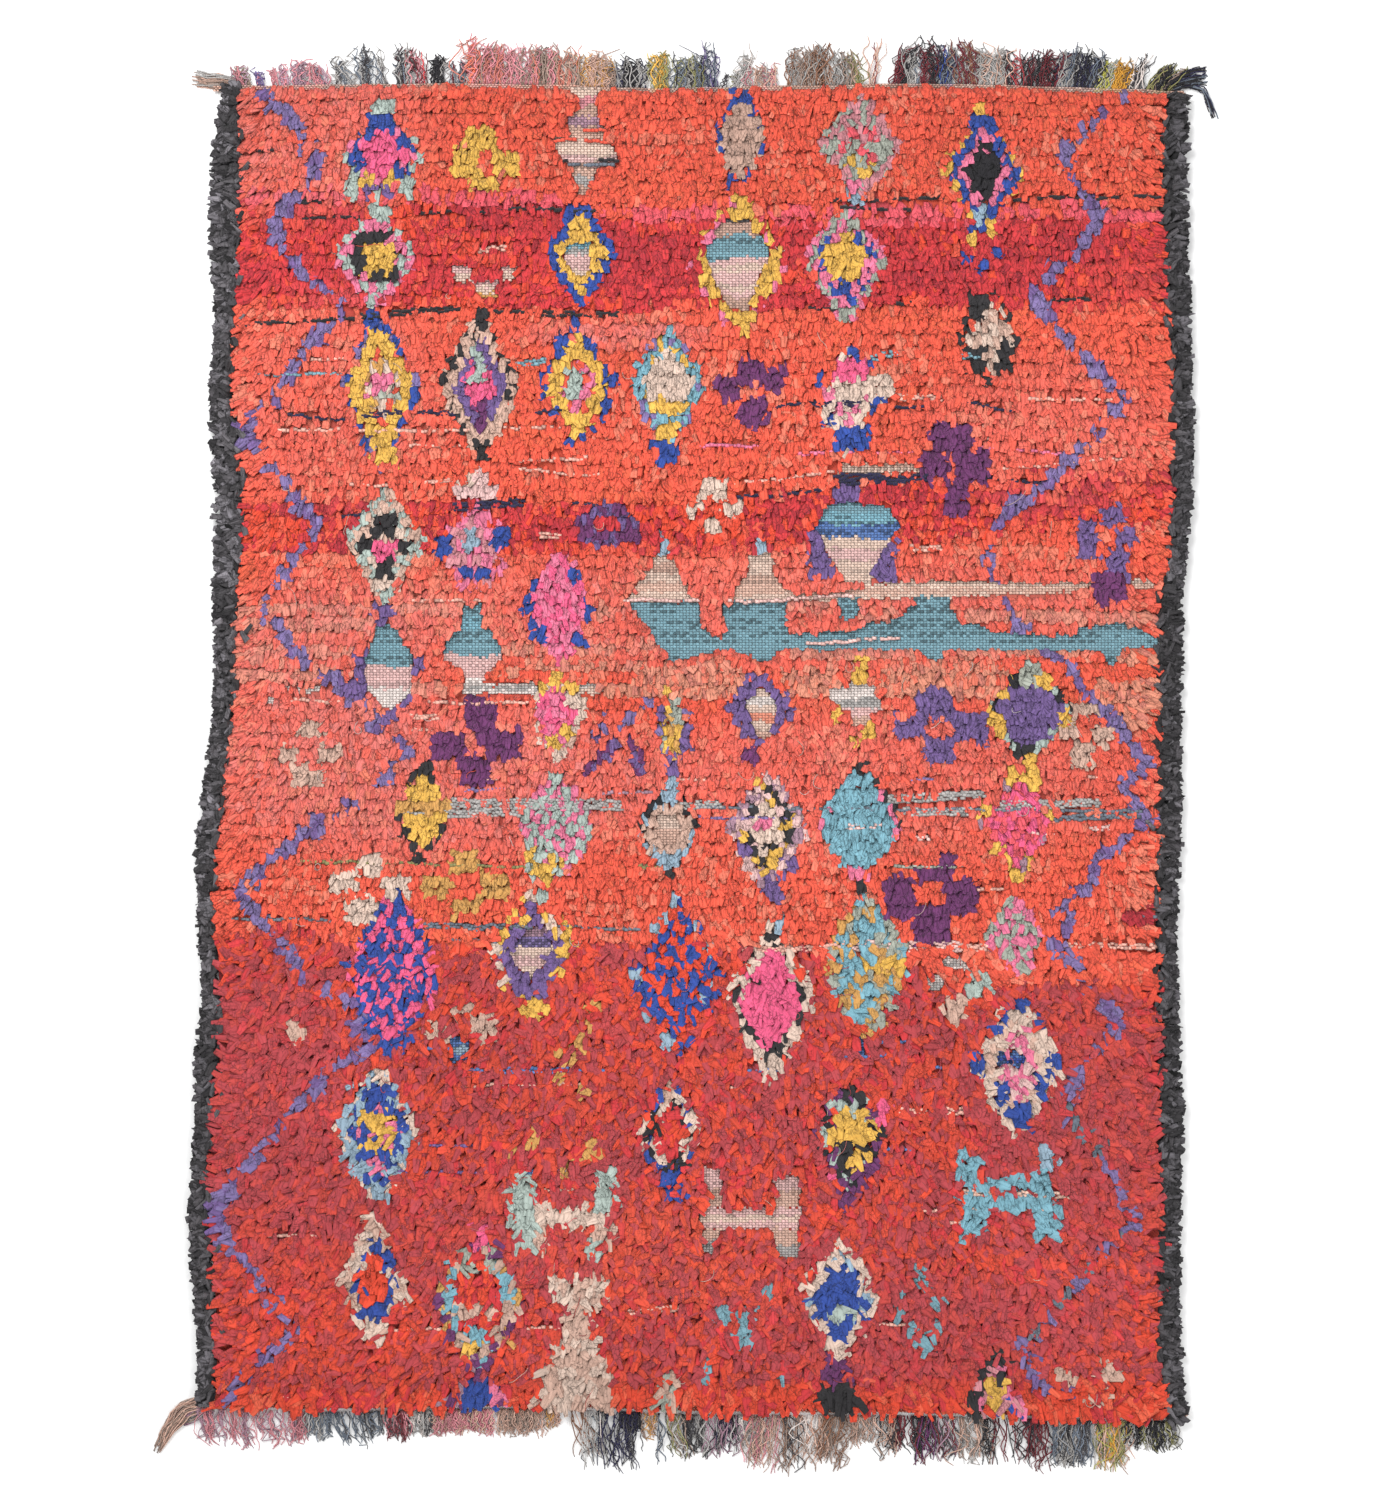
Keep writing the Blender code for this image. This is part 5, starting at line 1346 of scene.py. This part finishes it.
# the fringes: tufts from left to right, each with its first and last column, its dyes, its length
# and lean in chart steps, how wide its tips stand against its root, and its yarns to a step
shortTufts = [
    (236, 250, "mauve taupe dustyPink", 17, -7, 0.9, 1.6),
    (256, 266, "lilac dustyPink", 15, -5, 0.6, 1.0),
    (272, 288, "dustyPink mauve dustyPink", 19, -5, 1.2, 1.2),
    (293, 305, "dustyPink mauve", 23, -3, 1.0, 1.4),
    (306, 316, "dustyPink dustyPink grey", 22, -3, 1.3, 1.3),
    (320, 330, "dustyPink mauve slate", 20, -9, 1.6, 1.5),
    (331, 339, "slate charcoal grey", 25, -2, 1.3, 1.2),
    (343, 354, "slate grey dustyPink", 24, -12, 0.8, 0.9),
    (358, 371, "charcoal slate grey", 35, -6, 1.1, 1.2),
    (376, 388, "charcoal slate grey", 32, -10, 0.8, 0.9),
    (395, 405, "slate grey charcoal", 37, 1, 1.6, 1.6),
    (407, 427, "crimson grey maroon dustyPink", 35, -5, 1.2, 1.3),
    (430, 448, "charcoal grey black", 27, 1, 1.0, 1.7), (449, 466, "grey maroon slate", 20, 2, 0.9, 1.0),
    (466, 474, "dustyPink coralPale peachBrown", 40, 1, 1.2, 1.8),
    (474, 523, "dustyPink peachBrown taupe dustyPink", 38, 1, 1.0, 1.9),
    (523, 556, "dustyPink taupe peachBrown taupe", 38, -1, 1.0, 1.9),
    (556, 575, "tan peachBrown taupe", 35, -1, 1.0, 1.8),
    (575, 606, "tan mustardTan taupe", 31, 0, 1.0, 1.8), (606, 616, "taupe tan", 18, 0, 0.9, 1.0),
    (615, 649, "black grey navy", 28, 0, 1.1, 1.4),
    (651, 669, "mustardTan olive mustard", 34, -1, 1.0, 1.6),
    (669, 706, "slate olive grey black", 31, 0, 1.0, 1.3),
    (706, 718, "slate navy lilac", 40, -4, 0.9, 1.2), (719, 735, "grey olive charcoal", 15, 3, 0.9, 0.5),
    (735, 745, "grey white", 40, 8, 0.4, 1.5), (745, 777, "beige tan dustyPink grey", 21, 0, 0.9, 1.0),
    (787, 834, "taupe grey brown", 38, 1, 0.90, 1.5), (834, 852, "taupe grey", 32, 1, 1.0, 1.4),
    (852, 862, "beige olive", 30, -2, 1.2, 1.3), (869, 878, "beige maroon taupe", 41, 6, 1.2, 1.0),
    (888, 907, "maroon black", 44, 12, 0.5, 1.3), (907, 920, "grey slate", 40, 0, 1.0, 1.6),
    (921, 940, "black maroon", 40, 0, 1.0, 1.6), (940, 953, "navy cobalt slate", 36, 2, 1.0, 1.8),
    (955, 978, "brown maroon grey", 40, -5, 1.0, 1.6), (978, 1007, "grey beige grey", 36, 1, 1.0, 1.5),
    (1008, 1030, "maroon black dustyRed", 34, 2, 1.4, 1.3),
    (1030, 1058, "maroon black maroon", 36, 7, 1.1, 1.5),
    (1056, 1100, "black navy slate grey", 37, 6, 1.0, 1.8),
    (1092, 1112, "yellowGreen grey sage", 29, 7, 1.1, 1.8), (1113, 1127, "amber", 27, 8, 1.1, 2.2),
    (1129, 1146, "grey white charcoal", 32, 9, 1.0, 1.4),
    (1144, 1170, "black olive taupe", 22, 20, 1.1, 1.8),
]
longTufts = [
    (196, 226, "dustyPink mauve", 34, 6, 1.1, 0.9),
    (220, 252, "dustyPink mauve dustyPink", 36, 4, 0.9, 0.9),
    (250, 294, "dustyPink mauve", 32, 3, 0.8, 0.6), (294, 308, "mauve grey dustyPink", 28, 0, 1.0, 1.5),
    (307, 331, "slate grey", 26, 0, 1.0, 1.4), (331, 366, "charcoal slate", 32, 7, 0.8, 0.8),
    (366, 386, "slate charcoal", 24, 3, 1.0, 0.8),
    (386, 407, "dustyPink maroon charcoal", 28, 1, 1.0, 1.8),
    (407, 431, "charcoal grey white", 24, 1, 1.0, 1.8),
    (431, 500, "dustyPink beige dustyPink", 24, 0, 1.0, 1.9),
    (500, 546, "tan taupe tan", 24, -1, 1.0, 1.9), (546, 561, "mustardTan tan", 15, 0, 0.9, 1.2),
    (570, 584, "tan brown taupe", 46, 13, 0.7, 0.7), (583, 604, "grey slate white", 57, 2, 0.9, 0.9),
    (597, 640, "black navy charcoal", 58, -1, 0.8, 0.9), (621, 640, "navy black", 18, 0, 1.0, 1.6),
    (640, 656, "tan mustardTan taupe", 25, 2, 0.8, 0.8), (656, 662, "black slate", 54, 1, 0.9, 0.9),
    (664, 688, "black taupe olive grey", 42, 6, 0.8, 1.1), (686, 700, "grey charcoal", 38, 0, 1.0, 0.8),
    (698, 739, "black grey mauve navy", 38, -2, 1.0, 1.4), (739, 748, "grey white", 36, 1, 1.0, 1.0),
    (752, 781, "beige dustyPink taupe", 53, -5, 1.0, 1.4),
    (783, 800, "taupe brown charcoal", 54, -1, 1.0, 1.3), (801, 824, "beige white", 46, 1, 1.0, 0.8),
    (823, 852, "taupe brown taupe", 52, -8, 0.9, 1.3), (852, 866, "taupe beige", 30, 0, 1.0, 1.4),
    (866, 880, "grey beige", 28, 2, 1.0, 0.8), (879, 896, "beige taupe black", 44, 1, 1.0, 1.2),
    (895, 914, "black maroon", 30, 0, 0.9, 1.0), (913, 934, "black purple maroon", 44, 1, 1.0, 1.7),
    (934, 957, "maroon mauve charcoal grey", 43, 4, 0.9, 1.1),
    (956, 985, "beige grey taupe", 44, 3, 1.0, 1.2), (985, 1026, "black maroon", 46, 3, 1.0, 0.6),
    (1026, 1052, "maroon black", 46, -1, 1.0, 1.2),
    (1052, 1096, "slate grey charcoal black", 46, 0, 1.0, 1.7),
    (1096, 1127, "olive amber beige yellowGreen", 47, 1, 0.8, 1.5),
    (1126, 1142, "grey black", 27, 2, 1.0, 0.9), (1141, 1174, "black olive grey", 28, 3, 1.0, 1.8),
]
# yarns: curl is how much they kink and pull how far their tips close up in clumps, for the short end
# (1) and the long end (-1)
fringe = {
    "fullness": 0.92, "leastYarns": 4, "radius": 0.00114, "radiusChange": (0.75, 1.2), "stations": 12,
    "level": 0.0040, "seed": 71, "clump": 8.0, "narrowTuft": 1.5, "curl": {1: (1.1, 2.2), -1: (0.6, 1.5)},
    "pull": {1: 0.75, -1: 0.55}, "rootInset": 4.0, "rootLength": 3.0, "lengthChange": (0.72, 1.04),
    "clumpLength": 0.14, "lengthCell": 5.0, "headingChange": 0.10, "clumpDye": 0.45, "dyeCell": 6.0,
    "dyeChange": 0.28, "lightChange": 0.16, "slow": (0.6, 1.7), "quick": (2.0, 4.0), "drift": 0.085,
    "kink": 0.0027, "kinkAhead": 0.6, "leanPower": 1.2, "lift": 0.0055, "liftPower": 0.8,
    "overFloor": 1.05, "taper": 0.35, "taperPower": 3, "stripRoom": 9,
}


# Yarns: each leaves the heading, turns by its lean and wanders by a slow sine and a quick kink, both
# growing from the root, and comes down to the floor. Three points round each station.
def yarnPoints(yarns, rng):
    count, stations = len(yarns["x"]), fringe["stations"]
    x, y, dirX, dirY, length, lean, curl, radius = (
        yarns[key][:, None] for key in ("x", "y", "dirX", "dirY", "length", "lean", "curl", "radius"))
    t = np.linspace(0, 1, stations)[None, :]
    phase = rng.uniform(0, 2 * np.pi, (count, 2))
    slow = rng.uniform(*fringe["slow"], (count, 1))
    quick = rng.uniform(*fringe["quick"], (count, 1))
    drift = rng.normal(0, fringe["drift"], (count, 1)) * length
    kink = rng.normal(0, fringe["kink"], (count, 1)) * curl
    sway = drift * (np.sin(2 * np.pi * slow * t + phase[:, :1]) - np.sin(phase[:, :1]))
    sway = sway + kink * np.sin(2 * np.pi * quick * t + phase[:, 1:]) * np.sqrt(t)
    sway = sway + lean * t ** fringe["leanPower"]
    ahead = length * t + fringe["kinkAhead"] * kink * np.cos(2 * np.pi * quick * t) * t
    px = x + dirX * ahead - dirY * sway
    py = y + dirY * ahead + dirX * sway
    lift = rng.uniform(0.0, fringe["lift"], count)[:, None] * np.sin(np.pi * t ** fringe["liftPower"])
    pz = fringe["level"] * (1 - t) + radius * fringe["overFloor"] + lift
    radii = (1.0 - fringe["taper"] * t ** fringe["taperPower"]) * radius
    return tubePoints(np.stack([px, py, pz], -1), radii)


# Yarns of every tuft: roots spread evenly over it, tips drawn towards the middle of their clump
def fringeYarns(tufts, end, outwards, rng):
    rows = {key: [] for key in ("x", "y", "dirX", "dirY", "length", "lean", "curl", "radius", "dye")}
    for first, last, names, length, lean, tipWidth, full in tufts:
        count = max(fringe["leastYarns"], int((last - first) * full * fringe["fullness"]))
        column = rng.uniform(first, last, count)
        middle = (first + last) / 2
        clump = first + (np.floor((column - first) / fringe["clump"]) + 0.5) * fringe["clump"]
        if last - first < fringe["clump"] * fringe["narrowTuft"]:
            clump = np.minimum(clump, (last + first + fringe["clump"]) / 2)
        tip = middle + (column - middle) * tipWidth + fringe["pull"][outwards] * (clump - column)
        lengthNoise = softNoise(clump, clump * 0 + length, fringe["lengthCell"], "clumpLength")
        x, y = toRug(column, endRow(end, column) - outwards * fringe["rootInset"])
        heading = rng.normal(0, fringe["headingChange"], count)
        reach = (length + fringe["rootLength"]) * chart["step"] * (1 + fringe["clumpLength"] * lengthNoise)
        reach = reach * rng.uniform(*fringe["lengthChange"], count)
        curl = rng.uniform(*fringe["curl"][outwards], count)
        radius = fringe["radius"] * rng.uniform(*fringe["radiusChange"], count)
        dyeNoise = softNoise(clump, clump * 0 + first, fringe["dyeCell"], "clumpDye")
        mixed = 0.5 + fringe["clumpDye"] * dyeNoise + rng.normal(0, fringe["dyeChange"], count)
        light = (1 + rng.normal(0, fringe["lightChange"], count))[:, None]
        made = (x, y, np.sin(heading), outwards * np.cos(heading), reach,
                -outwards * (lean + tip - column) * chart["step"], curl, radius,
                pickDye(names, np.clip(mixed, 0, justUnderOne)) * light)
        for key, value in zip(rows, made):
            rows[key].append(value)
    return {key: np.concatenate(value) for key, value in rows.items()}


for name, tufts, end, outwards, node in (("fringeShort", shortTufts, shortEnd, 1, "fringe_short"),
                                         ("fringeLong", longTufts, longEnd, -1, "fringe_long")):
    yarnRng = np.random.default_rng(fringe["seed"] + outwards)
    yarns = fringeYarns(tufts, end, outwards, yarnRng)
    points = yarnPoints(yarns, yarnRng)
    along = np.linspace(0, 1, fringe["stations"])[None, :, None]
    along = along + yarnRng.uniform(0, fringe["stripRoom"], (len(yarns["x"]), 1, 1))
    tubePiece(name, points, yarns["dye"], along, [node])

# headings: picks of thick yarn over every warp, in the colour of the warps
heading = {
    "warpPitch": 3.4, "picks": 3, "pickPitch": 1.9, "level": 0.0060, "height": 0.0030, "seed": 81,
    "light": 1.22, "lightChange": 0.1, "inwards": {"fringe_short": 0.2, "fringe_long": 3.6},
    "wander": 0.8, "wanderCell": 22.0, "tuftShare": 0.35, "halfShare": 0.55,
}


def makeHeading(name, tufts, end, outwards, first, last, node):
    rng = np.random.default_rng(heading["seed"])
    warpPitch, pickPitch = heading["warpPitch"], heading["pickPitch"]
    warp, pick = np.meshgrid(np.arange(first, last, warpPitch), np.arange(heading["picks"]), indexing="ij")
    column = warp.ravel() + (pick.ravel() % 2) * warpPitch / 2
    row = endRow(end, column) + outwards * (heading["inwards"][node] - pick.ravel() * pickPitch)
    row = row + heading["wander"] * softNoise(column, column * 0, heading["wanderCell"], "headingLine")
    colour = np.repeat(dye("tan")[None], len(column), axis=0)
    tuftShare = heading["tuftShare"]
    for left, right, names, *_ in tufts:
        here = (column >= left) & (column < right)
        tuftDyes = pickDye(names, rng.uniform(0, justUnderOne, here.sum()))
        colour[here] = (1 - tuftShare) * colour[here] + tuftShare * tuftDyes
    x, y = toRug(column, row)
    count, half = len(x), chart["step"] * heading["halfShare"]
    light = 1 + rng.normal(0, heading["lightChange"], count)
    return pillowPiece(name, x, y, np.full(count, heading["level"]), np.full(count, warpPitch * half),
                       np.full(count, pickPitch * half), heading["height"],
                       colour * heading["light"] * light[:, None], [node])


headingShort = makeHeading("headingShort", shortTufts, shortEnd, 1, 214, 1186, "fringe_short")
headingLong = makeHeading("headingLong", longTufts, longEnd, -1, 196, 1186, "fringe_long")

# corner tassels: node, number of yarns, dyes, how far the yarns stand apart in steps at the root, the
# belly and the tip, and the path as places on the chart
tassels = {
    "tasselShortLeft": ("fringe_short", 44, "beige taupe grey", (4, 7, 8),
                        [(246, 82), (226, 80), (206, 79), (190, 75)]),
    "tasselShortRight": ("fringe_short", 40, "navy slate black", (5, 8, 9),
                         [(1166, 86), (1182, 80), (1196, 75), (1210, 74)]),
    "tasselShortTail": ("fringe_short", 16, "navy slate black", (2, 2, 4),
                        [(1192, 84), (1204, 88), (1210, 100), (1217, 119)]),
    "tasselLongLeft": ("fringe_long", 46, "beige taupe tan", (7, 9, 3),
                       [(204, 1405), (184, 1411), (169, 1428), (154, 1456)]),
    "tasselLongLoose": ("fringe_long", 26, "taupe mauve grey", (5, 7, 8),
                        [(212, 1408), (200, 1412), (190, 1417), (176, 1421)]),
}
tasselYarn = {
    "seedStep": 7, "lengthChange": (0.70, 1.0), "turns": (1.0, 3.0), "sway": 1.1, "lift": 0.006,
    "archStart": 0.2, "radiusChange": (0.75, 1.15), "lightChange": 0.14,
}


# Each yarn follows the path, moved sideways by its share of the spread and by a sway of its own
def makeTassel(name, node, count, names, spread, path):
    rng = np.random.default_rng(len(name) * tasselYarn["seedStep"] + count)
    stations = fringe["stations"]
    path = np.array(path, float)
    knots = np.linspace(0, 1, len(path))
    t = np.linspace(0, 1, stations)
    share = t[None, :] * rng.uniform(*tasselYarn["lengthChange"], count)[:, None]
    column = np.interp(share, knots, path[:, 0])
    row = np.interp(share, knots, path[:, 1])
    wide = np.interp(share, [0.0, 0.5, 1.0], spread)
    side = rng.uniform(-1, 1, (count, 1)) * wide
    turns = share * rng.uniform(*tasselYarn["turns"], (count, 1)) + rng.uniform(0, 1, (count, 1))
    sway = rng.normal(0, tasselYarn["sway"], (count, 1)) * np.sin(2 * np.pi * turns)
    dc, dr = np.gradient(column, axis=1), np.gradient(row, axis=1)
    size = np.hypot(dc, dr) + 1e-9
    column, row = column - dr / size * (side + sway), row + dc / size * (side + sway)
    x, y = toRug(column, row)
    radius = fringe["radius"] * rng.uniform(*tasselYarn["radiusChange"], (count, 1))
    radius = radius * np.ones((1, stations))
    arch = np.clip(share * (1 - tasselYarn["archStart"]) + tasselYarn["archStart"], 0, 1)
    z = radius + rng.uniform(0.0, tasselYarn["lift"], (count, 1)) * np.sin(np.pi * arch)
    points = tubePoints(np.stack([x, y, z], -1), radius)
    colour = pickDye(names, rng.uniform(0, justUnderOne, count))
    colour = colour * (1 + rng.normal(0, tasselYarn["lightChange"], count))[:, None]
    return tubePiece(name, points, colour, t[None, :, None], [node])


tasselPieces = [makeTassel(name, *tassel) for name, tassel in tassels.items()]
print("fringes made")

# floor, light and camera
stage = {
    "floorSize": 14.0, "floorColour": (0.93, 0.93, 0.93, 1.0), "floorRoughness": 0.95,
    "floorSpecular": 0.0, "worldColour": (1.0, 1.0, 1.0, 1.0), "worldStrength": 0.70,
}
floorMesh = bpy.data.meshes.new("floor")
half = stage["floorSize"] / 2
floorMesh.from_pydata([(-half, -half, 0), (half, -half, 0), (half, half, 0), (-half, half, 0)], [],
                      [(0, 1, 2, 3)])
floor = bpy.data.objects.new("floor", floorMesh)
floorMaterial = bpy.data.materials.new("paleFloor")
floorMaterial.use_nodes = True
floorShader = floorMaterial.node_tree.nodes["Principled BSDF"]
floorShader.inputs["Base Color"].default_value = stage["floorColour"]
floorShader.inputs["Roughness"].default_value = stage["floorRoughness"]
floorShader.inputs["Specular IOR Level"].default_value = stage["floorSpecular"]
floorMesh.materials.append(floorMaterial)
bpy.context.scene.collection.objects.link(floor)

world = bpy.data.worlds.new("studio")
world.use_nodes = True
world.node_tree.nodes["Background"].inputs["Color"].default_value = stage["worldColour"]
world.node_tree.nodes["Background"].inputs["Strength"].default_value = stage["worldStrength"]
bpy.context.scene.world = world

# soft boxes: place, size, power, aimed at the middle of the rug
softBoxes = {
    "mainBox": {"place": (-1.6, 2.4, 3.6), "size": 2.4, "power": 165.0},
    "fillBox": {"place": (2.2, -1.6, 3.8), "size": 3.0, "power": 70.0},
}
for name, box in softBoxes.items():
    lamp = bpy.data.lights.new(name, "AREA")
    lamp.shape = "SQUARE"
    lamp.size = box["size"]
    lamp.energy = box["power"]
    lampObject = bpy.data.objects.new(name, lamp)
    lampObject.location = box["place"]
    away = np.array(box["place"]) / np.linalg.norm(box["place"])
    lampObject.rotation_euler = (math.acos(away[2]), 0.0, math.atan2(away[1], away[0]) + math.pi / 2)
    bpy.context.scene.collection.objects.link(lampObject)

camera = {"lens": 85.0, "sensor": 36.0, "frameHeight": 2.25, "pileLevel": 0.016, "column": 689.0,
          "row": 750.0, "clipEnd": 100.0}
cameraData = bpy.data.cameras.new("camera")
cameraData.lens = camera["lens"]
cameraData.sensor_width = camera["sensor"]
cameraData.clip_end = camera["clipEnd"]
cameraObject = bpy.data.objects.new("camera", cameraData)
lookX, lookY = toRug(camera["column"], camera["row"])
distance = camera["frameHeight"] * camera["lens"] / camera["sensor"]
cameraObject.location = (lookX, lookY, distance + camera["pileLevel"])
cameraObject.rotation_euler = (0.0, 0.0, 0.0)
bpy.context.scene.collection.objects.link(cameraObject)
bpy.context.scene.camera = cameraObject
bpy.context.scene.view_settings.view_transform = "Standard"
bpy.context.scene.view_settings.exposure = 0.0

print("scene ready")
